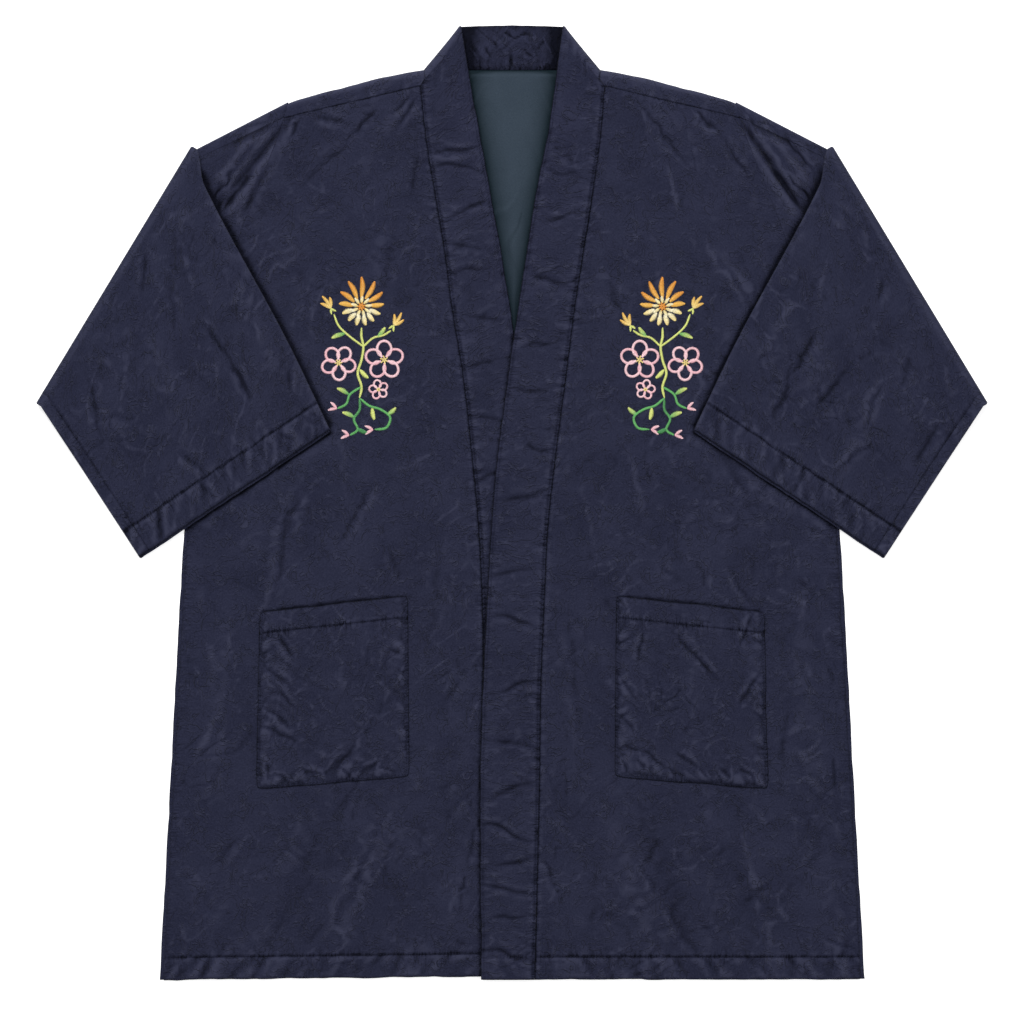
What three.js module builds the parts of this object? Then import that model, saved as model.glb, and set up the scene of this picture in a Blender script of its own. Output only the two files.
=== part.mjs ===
// Short kimono jacket, laid on its back with both sleeves folded over the front.
// Millimetres. +Z is up off the surface, +Y is toward the neck, +X is the wearer's left.

import * as THREE from "three";

// Cloth
const clothWall = 1.2;
const bandWall = 2;
const liningWall = 1;
const seamGap = 0.3;
const armholeGap = 0.5;

// Body, half widths measured out from the centre back
const hemY = -501;
const frontHemLift = { left: 1, right: 4 };
const hemHalf = 370;
const armpit = { x: 338, y: 91 };
const sideSeamInset = 4;
const neckY = 454;
const neckHalf = 92.5;
const shoulderAllowance = 16;
const seamInner = { x: 96.8, y: 437 };
const seamOuter = { x: 239, y: 404 };
const seamRun = seamOuter.x - seamInner.x;
const armholeFlare = 4;

// Collar band where it turns over at the neck
const collarTopY = 501;
const collarTopHalf = 50.5;
const collarTurnRadius = 6;
const collarBackSlide = 7;
const collarFrontSlide = -5;
const wrapInset = 4.8;

// Sleeve: the line that it is folded on, and its cuff after folding
const sleeveFoldTop = { x: 336.5, y: 374 };
const sleeveFoldEnd = { x: 499, y: 105 };
const cuffInner = { x: 191.5, y: 77 };
const cuffOuter = { x: 391, y: -56 };
const cuffStagger = 2.5;
const underarmAllowance = 12;
const sleeveAxisHeight = 6.4;

// Resting heights of the middle of each layer
const backLevel = clothWall / 2;
const liningLevel = clothWall + seamGap + liningWall / 2;
const sideLevel = clothWall + seamGap + clothWall / 2;
const frontLevel = { left: 3.3, right: 2.9 };
const foldedLayerGap = 3;
const tubeLayerGap = 2.6;

// How far each rise spreads before it has sunk to about a third
const shoulderReach = 50;
const bandReach = 34;
const sideReach = 14;
const foldReach = 60;
const tubeReach = 25;
const sagReach = 70;
const sagDepth = 4;
const armpitBlend = 80;
const armpitSteps = 7;
const lowerSleeveShare = 0.5;

// Top edge of the shoulders and sleeves, and the height of the cloth along it
const shoulderTable = {
  columns: ["x", "y", "height"],
  rows: [
    [92.5, 454, 9.5],
    [116, 450.5, 8.6],
    [170, 437.5, 6.8],
    [222, 424, 5.6],
    [250, 412, 4.9],
    [336.5, 374, 3.3],
    [500, 300, 3.3],
  ],
};

// Armhole seam from the armpit to the shoulder edge
const armholeTable = {
  columns: ["y", "x"],
  rows: [
    [91, 338],
    [150, 326],
    [215, 308],
    [270, 290],
    [320, 271],
    [360, 255],
    [404, 239],
    [420, 235],
  ],
};

// Collar band down each front: its seam, its free edge and its height, measured out
// from the centre front on the wearer's own side
const bandTable = {
  columns: ["y", "leftSeam", "leftEdge", "leftHeight", "rightSeam", "rightEdge", "rightHeight"],
  rows: [
    [-501, 23.6, -32, 5, 28, -31, 2.7],
    [-300, 28.4, -33.2, 5, 28.5, -31, 2.7],
    [-190, 30, -30, 5, 29.5, -30, 2.7],
    [-100, 33.7, -25.7, 5, 31, -28, 2.7],
    [-20, 37.7, -21.2, 5.1, 35.2, -23, 2.7],
    [60, 46.8, -13.6, 5.3, 42.7, -16, 2.8],
    [140, 57.2, -2.9, 5.9, 52, -7, 3.1],
    [200, 64.8, 5.7, 6.3, 62, 1.4, 3.8],
    [260, 74, 15.4, 5.8, 69.9, 11.3, 3.9],
    [320, 83.5, 24.7, 5.6, 79.7, 22, 4.5],
    [380, 92, 36.4, 6.8, 89.5, 32.7, 6.4],
    [437, 96.8, 45.3, 10, 96.1, 43.3, 10],
  ],
};

// Folds: a line from one point to another, half width across it and height, troughs negative
const foldColumns = ["x0", "y0", "x1", "y1", "width", "height"];
const foldTable = {
  left: {
    columns: foldColumns,
    rows: [
      [233, 411, 304, 313, 9, -3.2],
      [253, 404, 312, 322, 10, 5.5],
      [208, 400, 272, 280, 12, 3],
      [163, 419, 233, 313, 14, 1.5],
      [87, 340, 74, 215, 12, -1.4],
      [202, 276, 262, 205, 12, 2],
      [215, 70, 262, -20, 14, -1],
      [130, -312, 200, -487, 18, -1.2],
      [92, -312, 150, -469, 22, 1.4],
      [296, -120, 318, -330, 20, 1.2],
    ],
  },
  right: {
    columns: foldColumns,
    rows: [
      [241, 405, 308, 290, 9, -3.2],
      [257, 396, 312, 306, 10, 5.5],
      [228, 394, 280, 300, 12, 3],
      [113, 425, 169, 329, 14, 1.6],
      [96, 371, 104, 295, 12, -1.4],
      [192, 339, 263, 224, 18, 1.6],
      [164, 10, 206, -93, 14, -1],
      [169, -301, 248, -470, 18, -1.2],
      [118, -312, 192, -480, 22, 1.5],
      [292, -90, 322, -320, 20, 1.2],
    ],
  },
};

// Folds of the upper layer of each sleeve, where it lies over the front
const sleeveFoldTable = {
  left: {
    columns: foldColumns,
    rows: [
      [349, 355, 344, 275, 16, 2.2],
      [388, 290, 396, 205, 16, -1.5],
      [320, 185, 268, 79, 12, -1.6],
      [300, 230, 262, 140, 14, 1.6],
      [362, 160, 318, 90, 12, -1.6],
      [422, 195, 456, 115, 14, -1.4],
      [444, 95, 423, 30, 12, -1.5],
      [385, 130, 352, 30, 14, 1.4],
    ],
  },
  right: {
    columns: foldColumns,
    rows: [
      [352, 355, 343, 280, 16, 2.2],
      [384, 295, 384, 205, 16, -1.3],
      [421, 205, 438, 115, 15, -1.4],
      [444, 140, 421, 15, 16, -1.6],
      [315, 190, 268, 95, 12, -1.4],
      [290, 235, 239, 120, 14, 1.6],
      [381, 190, 339, 50, 18, 1.6],
    ],
  },
};

// Patch pocket, corners as sewn to the front
const pocket = {
  innerTop: { x: 109.5, y: -97.5 },
  outerTop: { x: 264.5, y: -114.5 },
  outerBottom: { x: 268.3, y: -300 },
  innerBottom: { x: 108, y: -287 },
};
const pocketGap = 0.5;
const pocketMouthGape = 3;
const pocketBelly = 1.6;

// Lining seen inside the neck, between the bands
const liningTopY = 453;
const liningBottomY = 176;
const liningTuck = 14;

// Counts of cells
const frontColumns = 17;
const frontLowerRows = 15;
const frontUpperRows = 22;
const backLowerRows = 6;
const backUpperRows = 7;
const turnSteps = 4;
const bandColumns = 4;
const bandFrontRows = 26;
const bandBackRows = 5;
const sleeveArmRows = 7;
const sleeveOverRows = 13;
const sleeveFrontColumns = 9;
const sleeveBackColumns = 13;
const firstFrontShare = 0.08;
const frontShareEase = 1.3;
const pocketColumns = 10;
const pocketRows = 9;
const liningColumns = 4;
const liningRows = 6;

// Columns of the back, as shares of its half width, the first two of them inside the neck
const neckColumns = 2;
const neckShare = neckHalf / (seamOuter.x - armholeFlare);
const backShares = [0, neckShare / 2, neckShare, 0.55, 0.7, 0.85, 1];

const navy = { color: 0x2b2d41, roughness: 0.62, metalness: 0 };
const collarNavy = { color: 0x292b3e, roughness: 0.62, metalness: 0 };
const teal = { color: 0x36414d, roughness: 0.55, metalness: 0 };

const sides = {
  left: { name: "left", sign: 1 },
  right: { name: "right", sign: -1 },
};

const mix = THREE.MathUtils.lerp;
const smoothstep = THREE.MathUtils.smoothstep;

function mixPoints(from, to, share) {
  return { x: mix(from.x, to.x, share), y: mix(from.y, to.y, share) };
}

function distance(from, to) {
  return Math.hypot(to.x - from.x, to.y - from.y);
}

function steps(count) {
  return Array.from({ length: count + 1 }, (_, index) => index / count);
}

// Reads a column of a table at a value of its first column, along smooth curves
function read(table, column, at) {
  const rows = table.rows;
  const k = table.columns.indexOf(column);
  const last = rows.length - 1;
  const place = Math.min(Math.max(at, rows[0][0]), rows[last][0]);
  let i = 0;
  while (i < last - 1 && place > rows[i + 1][0]) {
    i += 1;
  }
  const slope = (n) => {
    const before = rows[Math.max(n - 1, 0)];
    const after = rows[Math.min(n + 1, last)];
    return (after[k] - before[k]) / (after[0] - before[0]);
  };
  const span = rows[i + 1][0] - rows[i][0];
  const t = (place - rows[i][0]) / span;
  const ease = t * t * (3 - 2 * t);
  const start = t * (1 - t) * (1 - t) * span * slope(i);
  const end = t * t * (1 - t) * span * slope(i + 1);
  return mix(rows[i][k], rows[i + 1][k], ease) + start - end;
}

// Height that the folds of a table add at a place
function foldRise(table, x, y) {
  let rise = 0;
  for (const row of table.rows) {
    const [x0, y0, x1, y1, width, height] = row;
    const length = Math.hypot(x1 - x0, y1 - y0);
    const along = ((x - x0) * (x1 - x0) + (y - y0) * (y1 - y0)) / length;
    const across = ((x - x0) * (y1 - y0) - (y - y0) * (x1 - x0)) / length;
    const share = along / length;
    const taper = smoothstep(share, -0.1, 0.3) * (1 - smoothstep(share, 0.65, 1.1));
    rise += height * taper * Math.exp(-((across / width) ** 2));
  }
  return rise;
}

function shoulderY(x) {
  return read(shoulderTable, "y", x);
}

function shoulderHeight(x) {
  return read(shoulderTable, "height", x);
}

function sideX(y) {
  const share = (y - hemY) / (armpit.y - hemY);
  return mix(hemHalf, armpit.x, share);
}

function bandSeam(side, y) {
  return read(bandTable, `${side.name}Seam`, y);
}

function bandEdge(side, y) {
  return read(bandTable, `${side.name}Edge`, y);
}

function bandHeight(side, y) {
  return read(bandTable, `${side.name}Height`, y);
}

// Height of the middle of the front layer, on the body and on the arm part of the sleeve
function frontHeight(side, x, y) {
  const base = frontLevel[side.name];
  const below = Math.max(shoulderY(x) - shoulderAllowance - y, 0);
  const fromBand = Math.max(x - bandSeam(side, y), 0);
  const fromSide = Math.max(sideX(y) - sideSeamInset - x, 0);
  const shoulderRise = Math.max(shoulderHeight(x) - base, 0) * Math.exp(-below / shoulderReach);
  const bandRise = Math.max(bandHeight(side, y) - base, 0) * Math.exp(-fromBand / bandReach);
  const rise = Math.cbrt(shoulderRise ** 3 + bandRise ** 3);
  const onSide = 1 - smoothstep(y, armpit.y - armpitBlend, armpit.y);
  const drop = (base - sideLevel) * onSide * Math.exp(-fromSide / sideReach);
  const folds = foldRise(foldTable[side.name], x, y);
  return Math.max(base + rise - drop + folds, sideLevel);
}

// A closed wall round a grid of points. Rows run from the first to the last along the cloth,
// and an outer face looks up where rows go toward +Y and columns toward +X.
function wallAround(rows, wall, isCloth = () => true) {
  const rowCount = rows.length;
  const columnCount = rows[0].length;
  const used = (i, j) => {
    const inside = i >= 0 && j >= 0 && i < rowCount - 1 && j < columnCount - 1;
    return inside && isCloth(i, j);
  };
  const touches = (i, j) => used(i, j) || used(i - 1, j) || used(i, j - 1) || used(i - 1, j - 1);
  const neighbour = (i, j, di, dj) => {
    const a = i + di;
    const b = j + dj;
    const onGrid = a >= 0 && b >= 0 && a < rowCount && b < columnCount;
    return onGrid && touches(a, b) ? rows[a][b] : rows[i][j];
  };
  const positions = [];
  const number = new Map();
  for (const face of [1, -1]) {
    for (let i = 0; i < rowCount; i += 1) {
      for (let j = 0; j < columnCount; j += 1) {
        if (!touches(i, j)) continue;
        const along = neighbour(i, j, 1, 0).clone().sub(neighbour(i, j, -1, 0));
        const across = neighbour(i, j, 0, 1).clone().sub(neighbour(i, j, 0, -1));
        const normal = across.cross(along).normalize();
        const point = rows[i][j].clone().addScaledVector(normal, (face * wall) / 2);
        number.set(`${face} ${i} ${j}`, positions.length / 3);
        positions.push(point.x, point.y, Math.max(point.z, 0));
      }
    }
  }
  const at = (face, i, j) => number.get(`${face} ${i} ${j}`);
  const indices = [];
  const rim = (i0, j0, i1, j1) => {
    indices.push(at(1, i1, j1), at(1, i0, j0), at(-1, i0, j0));
    indices.push(at(1, i1, j1), at(-1, i0, j0), at(-1, i1, j1));
  };
  for (let i = 0; i < rowCount - 1; i += 1) {
    for (let j = 0; j < columnCount - 1; j += 1) {
      if (!used(i, j)) continue;
      const corners = [[i, j], [i, j + 1], [i + 1, j + 1], [i + 1, j]];
      const [a, b, c, d] = corners.map((corner) => at(1, ...corner));
      const [e, f, g, h] = corners.map((corner) => at(-1, ...corner));
      indices.push(a, b, c, a, c, d, e, g, f, e, h, g);
      if (!used(i - 1, j)) rim(i, j, i, j + 1);
      if (!used(i, j + 1)) rim(i, j + 1, i + 1, j + 1);
      if (!used(i + 1, j)) rim(i + 1, j + 1, i + 1, j);
      if (!used(i, j - 1)) rim(i + 1, j, i, j);
    }
  }
  const geometry = new THREE.BufferGeometry();
  geometry.setAttribute("position", new THREE.Float32BufferAttribute(positions, 3));
  geometry.setIndex(indices);
  geometry.computeVertexNormals();
  return geometry;
}

function addPiece(group, name, geometry, look) {
  const mesh = new THREE.Mesh(geometry, new THREE.MeshStandardMaterial(look));
  mesh.name = name;
  group.add(mesh);
}

// Rows of points on the wearer's left, kept there or mirrored to the right
function sidedRows(side, rows) {
  return rows.map((row) => {
    const points = row.map((point) => new THREE.Vector3(point.x * side.sign, point.y, point.z));
    return side.sign < 0 ? points.reverse() : points;
  });
}

// Front panel from the collar band to the side seam and armhole, and from the hem to the shoulder
function makeFront(side) {
  const bottomY = hemY + frontHemLift[side.name];
  const rows = [];
  const addRow = (inner, outer) => {
    rows.push(steps(frontColumns).map((share) => {
      const place = mixPoints(inner, outer, share);
      return { ...place, z: frontHeight(side, place.x, place.y) };
    }));
  };
  for (const share of steps(frontLowerRows)) {
    const y = mix(bottomY, armpit.y, share);
    addRow({ x: bandSeam(side, y) + seamGap, y }, { x: sideX(y) - sideSeamInset, y });
  }
  for (const share of steps(frontUpperRows).slice(1)) {
    const innerY = mix(armpit.y, seamInner.y, share);
    const outerY = mix(armpit.y, seamOuter.y, share);
    const seamInset = mix(sideSeamInset, armholeGap / 2, Math.min(share * armpitSteps, 1));
    const outerX = read(armholeTable, "x", outerY) - seamInset;
    addRow({ x: bandSeam(side, innerY) + seamGap, y: innerY }, { x: outerX, y: outerY });
  }
  return rows;
}

// Back panel, flat from the hem to the shoulder edge, then over it and down to the seam in front
function makeBack() {
  const shares = [...backShares.slice(1).reverse().map((share) => -share), ...backShares];
  const topHalf = seamOuter.x - armholeFlare;
  const turnRadius = (x) => (shoulderHeight(x) - backLevel) / 2;
  const turnStart = (x) => shoulderY(x) - turnRadius(x) - clothWall / 2;
  const halfWidth = (y) => (y < armpit.y ? sideX(y) : read(armholeTable, "x", y) - armholeGap / 2);
  const rows = [];
  for (const share of steps(backLowerRows)) {
    const y = mix(hemY, armpit.y, share);
    rows.push(shares.map((across) => new THREE.Vector3(across * halfWidth(y), y, backLevel)));
  }
  for (const share of steps(backUpperRows).slice(1)) {
    rows.push(shares.map((across) => {
      const inNeck = Math.abs(across) < neckShare;
      const topY = inNeck ? neckY : turnStart(Math.abs(across) * topHalf);
      const y = mix(armpit.y, topY, share);
      const half = inNeck ? mix(armpit.x, topHalf, share) : halfWidth(y);
      return new THREE.Vector3(across * (share === 1 ? topHalf : half), y, backLevel);
    }));
  }
  const shoulderX = (across) => {
    const fromArmhole = Math.max((1 - Math.abs(across)) / (1 - neckShare), 0);
    return Math.abs(across) * topHalf + wrapInset * fromArmhole;
  };
  for (const share of steps(turnSteps).slice(1)) {
    const angle = mix(-Math.PI / 2, Math.PI / 2, share);
    rows.push(shares.map((across) => {
      const x = shoulderX(across);
      const radius = turnRadius(x);
      const y = turnStart(x) + radius * Math.cos(angle);
      const z = backLevel + radius + radius * Math.sin(angle);
      return new THREE.Vector3(Math.sign(across) * x, y, z);
    }));
  }
  rows.push(shares.map((across) => {
    const x = shoulderX(across);
    const y = seamGap + mix(seamInner.y, seamOuter.y, (x - seamInner.x) / seamRun);
    return new THREE.Vector3(Math.sign(across) * x, y, shoulderHeight(x));
  }));
  const flatRows = backLowerRows + backUpperRows;
  const middle = backShares.length - 1;
  const isCloth = (i, j) => {
    const fromCentre = j < middle ? middle - 1 - j : j - middle;
    return i < flatRows || fromCentre >= neckColumns;
  };
  return wallAround(rows, clothWall, isCloth);
}

// One side of the collar band, from the hem up the front, over the neck to the centre back
function bandRows(side) {
  const rows = [];
  const topY = bandTable.rows.at(-1)[0];
  const shares = steps(bandColumns);
  for (const share of steps(bandFrontRows)) {
    const y = mix(hemY + frontHemLift[side.name], topY, share);
    rows.push(shares.map((across) => {
      const x = mix(bandSeam(side, y), bandEdge(side, y), across);
      return { x, y, z: bandHeight(side, y) };
    }));
  }
  const line = new THREE.Vector2(collarTopHalf - neckHalf, collarTopY - neckY);
  const length = line.length();
  line.normalize();
  const outward = new THREE.Vector2(line.y, -line.x);
  const inset = collarTurnRadius + bandWall / 2;
  const turnLevel = bandWall / 2 + collarTurnRadius;
  const turnRow = (angle, slide) => shares.map((across) => {
    const along = mix(slide, length, across);
    const out = collarTurnRadius * Math.cos(angle) - inset;
    return {
      x: neckHalf + line.x * along + outward.x * out,
      y: neckY + seamGap + line.y * along + outward.y * out,
      z: turnLevel + collarTurnRadius * Math.sin(angle),
    };
  });
  for (const share of steps(turnSteps + 2)) {
    const angle = mix(Math.PI / 2, -Math.PI / 2, share);
    rows.push(turnRow(angle, mix(collarFrontSlide, collarBackSlide, share)));
  }
  const last = rows.at(-1);
  for (const share of steps(bandBackRows).slice(1)) {
    rows.push(shares.map((across, j) => {
      const centre = { x: 0, y: mix(neckY + seamGap, collarTopY, across) };
      const place = mixPoints(last[j], centre, share);
      return { ...place, z: bandWall / 2 };
    }));
  }
  return rows;
}

function makeBand() {
  const toPoints = (side) => bandRows(side).map((row) => (
    row.map((point) => new THREE.Vector3(point.x * side.sign, point.y, point.z)).reverse()
  ));
  const rightRows = toPoints(sides.right).reverse().slice(1);
  return wallAround([...toPoints(sides.left), ...rightRows], bandWall);
}

// Spots round the sleeve. Each has a level from 0 on the back layer to 1 on the front layer, and
// a share of the way from the top edge to the underarm edge, a distance in from one of those
// edges, or an angle round it.
function roundEdge(edge, quarters) {
  const angle = (quarters * Math.PI) / 4;
  return { edge, angle, level: (1 + Math.sin(angle)) / 2 };
}

function backPanelSpots() {
  const start = { edge: "top", inset: shoulderAllowance, level: 1 };
  const turn = [2, 1, 0, -1, -2].map((quarters) => roundEdge("top", quarters));
  const across = steps(sleeveBackColumns).slice(1, -1).map((share) => ({ share, level: 0 }));
  const end = { edge: "under", inset: underarmAllowance, level: 0 };
  return [start, ...turn, ...across, end];
}

function frontPanelSpots() {
  const start = { edge: "under", inset: underarmAllowance - seamGap, level: 0 };
  const turn = [-2, -1, 0, 1, 2].map((quarters) => roundEdge("under", quarters));
  const across = steps(sleeveFrontColumns).slice(1, -1).reverse().map((share) => (
    { share: mix(firstFrontShare, 1, share ** frontShareEase), level: 1 }
  ));
  const end = { edge: "top", inset: shoulderAllowance + seamGap, level: 1 };
  return [start, ...turn, ...across, end];
}

const foldLine = new THREE.Vector2(
  sleeveFoldEnd.x - sleeveFoldTop.x,
  sleeveFoldEnd.y - sleeveFoldTop.y,
).normalize();
const pastFold = new THREE.Vector2(-foldLine.y, foldLine.x);

function armholeAt(across) {
  const y = mix(armholeTable.rows.at(-1)[0], armpit.y, across);
  return { x: read(armholeTable, "x", y) + armholeGap / 2, y };
}

function axisAt(across) {
  const place = mixPoints(sleeveFoldTop, sleeveFoldEnd, across);
  return {
    x: place.x - pastFold.x * sleeveAxisHeight,
    y: place.y - pastFold.y * sleeveAxisHeight,
  };
}

function cuffAt(across, level) {
  const place = mixPoints(cuffInner, cuffOuter, across);
  const fold = axisAt(across);
  const length = distance(place, fold);
  return mixPoints(fold, place, 1 + (cuffStagger * level) / length);
}

// From the armhole to the fold the two layers lie on each other
function armLayers(side, place) {
  return { back: backLevel, front: frontHeight(side, place.x, place.y) };
}

// Where nothing lies below the folded sleeve it sinks toward the surface
function unsupported(place) {
  const underarmY = (armpit.y + sleeveFoldEnd.y) / 2;
  const beyond = Math.min(place.x - sideX(place.y), underarmY - place.y);
  return smoothstep(beyond, 0, sagReach);
}

// Past the fold the front layer is the lower one, and both settle with distance from the fold
function foldedLayers(side, place, along) {
  const below = frontHeight(side, place.x, place.y);
  const turned = 2 * (sleeveAxisHeight - below) - foldedLayerGap;
  const settled = 1 - Math.exp(-along / tubeReach);
  const folds = settled * foldRise(sleeveFoldTable[side.name], place.x, place.y);
  const sag = settled * sagDepth * unsupported(place);
  const lower = below + foldedLayerGap + turned * Math.exp(-along / foldReach) - sag;
  const gap = mix(below - backLevel, tubeLayerGap, settled);
  return { front: lower + lowerSleeveShare * folds, back: lower + gap + folds };
}

const armPart = { start: armholeAt, end: axisAt, layers: armLayers };
const foldedPart = { start: axisAt, end: cuffAt, layers: foldedLayers };

function sleevePoint(side, part, spot, share) {
  const ends = (across) => [part.start(across), part.end(across, spot.level)];
  const plan = (across) => mixPoints(...ends(across), share);
  const layersAt = (across) => part.layers(side, plan(across), share * distance(...ends(across)));
  const edge = spot.edge === "under" ? 1 : 0;
  const edgeLayers = layersAt(edge);
  const radius = Math.abs(edgeLayers.front - edgeLayers.back) / 2;
  const inset = spot.inset ?? radius * (1 - Math.cos(spot.angle));
  const width = distance(plan(0), plan(1));
  const across = spot.share ?? Math.abs(edge - inset / width);
  const layers = spot.angle === undefined ? layersAt(across) : edgeLayers;
  return { ...plan(across), z: mix(layers.back, layers.front, spot.level) };
}

function turnOver(point, angle) {
  const radius = sleeveAxisHeight - point.z;
  return {
    x: point.x + pastFold.x * radius * Math.cos(angle),
    y: point.y + pastFold.y * radius * Math.cos(angle),
    z: sleeveAxisHeight + radius * Math.sin(angle),
  };
}

function sleeveRows(side, spots) {
  const rowsOf = (part, shares) => shares.map((share) => (
    spots.map((spot) => sleevePoint(side, part, spot, share))
  ));
  const armRows = rowsOf(armPart, steps(sleeveArmRows));
  const turnRows = steps(turnSteps + 2).slice(1).map((share) => {
    const angle = mix(-Math.PI / 2, Math.PI / 2, share);
    return armRows.at(-1).map((point) => turnOver(point, angle));
  });
  const foldedRows = rowsOf(foldedPart, steps(sleeveOverRows).slice(1));
  return [...armRows, ...turnRows, ...foldedRows];
}

function makeSleevePanel(side, spots) {
  return wallAround(sidedRows(side, sleeveRows(side, spots)), clothWall);
}

// Patch pocket on the front's own form, open along its gaping top edge
function makePocket(side) {
  const rows = steps(pocketRows).map((up) => steps(pocketColumns).map((across) => {
    const inner = mixPoints(pocket.innerBottom, pocket.innerTop, up);
    const outer = mixPoints(pocket.outerBottom, pocket.outerTop, up);
    const place = mixPoints(inner, outer, across);
    const arch = Math.sin(Math.PI * across);
    const gape = pocketMouthGape * arch ** 2 * up ** 4;
    const belly = pocketBelly * arch * Math.sin(Math.PI * up);
    const z = frontHeight(side, place.x, place.y) + clothWall + pocketGap + gape + belly;
    return { ...place, z };
  }));
  return wallAround(sidedRows(side, rows), clothWall);
}

function makeLining() {
  const rows = steps(liningRows).map((up) => {
    const y = mix(liningBottomY, liningTopY, up);
    const right = -bandEdge(sides.right, y) - liningTuck;
    const left = bandEdge(sides.left, y) + liningTuck;
    return steps(liningColumns).map((across) => (
      new THREE.Vector3(mix(right, left, across), y, liningLevel)
    ));
  });
  return wallAround(rows, liningWall);
}

const group = new THREE.Group();
group.name = "short_kimono_jacket";
addPiece(group, "back_panel", makeBack(), navy);
addPiece(group, "neck_lining", makeLining(), teal);
addPiece(group, "collar_band", makeBand(), collarNavy);
for (const side of Object.values(sides)) {
  addPiece(group, `front_${side.name}`, wallAround(sidedRows(side, makeFront(side)), clothWall), navy);
  addPiece(group, `pocket_${side.name}`, makePocket(side), navy);
  addPiece(group, `sleeve_${side.name}_back`, makeSleevePanel(side, backPanelSpots()), navy);
  addPiece(group, `sleeve_${side.name}_front`, makeSleevePanel(side, frontPanelSpots()), navy);
}

export default group;
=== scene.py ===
# A short kimono jacket laid on its back with both sleeves folded over the front.
# Each piece is worked out in millimetres on the wearer's left and mirrored for the right.
import math

import bpy
import numpy as np
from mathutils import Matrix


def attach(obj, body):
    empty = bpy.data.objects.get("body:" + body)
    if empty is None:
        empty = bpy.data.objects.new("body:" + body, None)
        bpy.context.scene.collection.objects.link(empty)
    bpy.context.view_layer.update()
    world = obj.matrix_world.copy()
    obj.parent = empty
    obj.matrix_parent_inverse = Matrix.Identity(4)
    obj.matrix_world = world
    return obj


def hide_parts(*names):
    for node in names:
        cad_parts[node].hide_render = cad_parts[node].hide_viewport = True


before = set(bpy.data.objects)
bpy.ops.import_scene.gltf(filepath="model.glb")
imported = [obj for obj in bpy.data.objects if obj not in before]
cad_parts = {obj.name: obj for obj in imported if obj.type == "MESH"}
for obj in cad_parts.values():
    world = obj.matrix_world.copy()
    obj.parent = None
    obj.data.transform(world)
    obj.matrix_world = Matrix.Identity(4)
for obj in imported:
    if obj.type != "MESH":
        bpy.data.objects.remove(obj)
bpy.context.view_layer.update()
bpy.ops.object.select_all(action="DESELECT")
print("frame loaded")

jacket = {
    "wall": 1.2, "bandWall": 2.0, "liningWall": 1.0, "seamGap": 0.3, "armholeGap": 0.5,
    "hemY": -501.0, "hemLift": {"left": 1.0, "right": 4.8}, "hemHalf": 370.0,
    "hemSlant": {"left": 0.0, "right": 4.8},  # how far the hem drops on its way to the side
    "armpit": (338.0, 91.0), "sideInset": 4.0, "neckY": 454.0, "neckHalf": 92.5,
    "allowance": 16.0, "seamInner": (96.8, 437.0), "seamOuter": (239.0, 404.0),
    "collarTopY": 501.0, "collarTopHalf": 53.0, "hemDepth": 24.0,
}
sides = ("left", "right")
level = {"back": 0.6, "lining": 2.0, "side": 2.1, "left": 3.3, "right": 2.9}
seeds = {"left": 11, "right": 47}
shoulderTable = {
    "columns": ("x", "y", "height"),
    "rows": np.array([
        [92.5, 454, 9.5], [116, 450.5, 8.6], [170, 437.5, 6.8], [222, 424, 5.6],
        [250, 412, 4.9], [336.5, 374, 3.3], [500, 300, 3.3],
    ]),
}
armholeTable = {
    "columns": ("y", "x"),
    "rows": np.array([
        [91.0, 338], [150, 326], [215, 308], [270, 290], [320, 271], [360, 255], [404, 239],
        [420, 235],
    ]),
}
bandTable = {
    "columns": ("y", "leftSeam", "leftEdge", "leftHeight", "rightSeam", "rightEdge", "rightHeight"),
    "rows": np.array([
        [-501, 23.6, -32, 5, 28, -31, 2.7],
        [-300, 28.4, -33.2, 5, 28.5, -31, 2.7],
        [-190, 30, -30, 5, 29.5, -30, 2.7],
        [-100, 33.7, -25.7, 5, 31, -28, 2.7],
        [-20, 37.7, -21.2, 5.1, 35.2, -23, 2.7],
        [60, 46.8, -13.6, 5.3, 42.7, -16, 2.8],
        [140, 57.2, -2.9, 5.9, 52, -7, 3.1],
        [200, 64.8, 5.7, 6.3, 62, 1.4, 3.8],
        [260, 74, 15.4, 5.8, 69.9, 11.3, 3.9],
        [320, 83.5, 24.7, 5.6, 79.7, 22, 4.5],
        [380, 92, 36.4, 6.8, 89.5, 32.7, 6.4],
        [437, 96.8, 45.3, 10, 96.1, 43.3, 10],
    ]),
}


def mix(a, b, t):
    return a + (b - a) * t


def smoothStep(value, low, high):
    t = np.clip((value - low) / (high - low), 0, 1)
    return t * t * (3 - 2 * t)


def bell(distance, reach, sharp=2.0):
    return np.exp(-np.abs(distance / reach) ** sharp)


def readTable(table, column, at):
    x = table["rows"][:, 0]
    y = table["rows"][:, table["columns"].index(column)]
    at = np.clip(np.asarray(at, float), x[0], x[-1])
    slope = np.empty_like(y)
    slope[1:-1] = (y[2:] - y[:-2]) / (x[2:] - x[:-2])
    slope[0] = (y[1] - y[0]) / (x[1] - x[0])
    slope[-1] = (y[-1] - y[-2]) / (x[-1] - x[-2])
    i = np.clip(np.searchsorted(x, at, side="left") - 1, 0, len(x) - 2)
    span = x[i + 1] - x[i]
    t = (at - x[i]) / span
    bend = t * (1 - t) ** 2 * span * slope[i] - t * t * (1 - t) * span * slope[i + 1]
    return mix(y[i], y[i + 1], t * t * (3 - 2 * t)) + bend


def besideLine(x, y, start, end):
    # the share of the way along a line, and the distance to the right of it
    (x0, y0), (x1, y1) = start, end
    length = math.hypot(x1 - x0, y1 - y0)
    share = ((x - x0) * (x1 - x0) + (y - y0) * (y1 - y0)) / length ** 2
    return share, ((x - x0) * (y1 - y0) - (y - y0) * (x1 - x0)) / length


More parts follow.
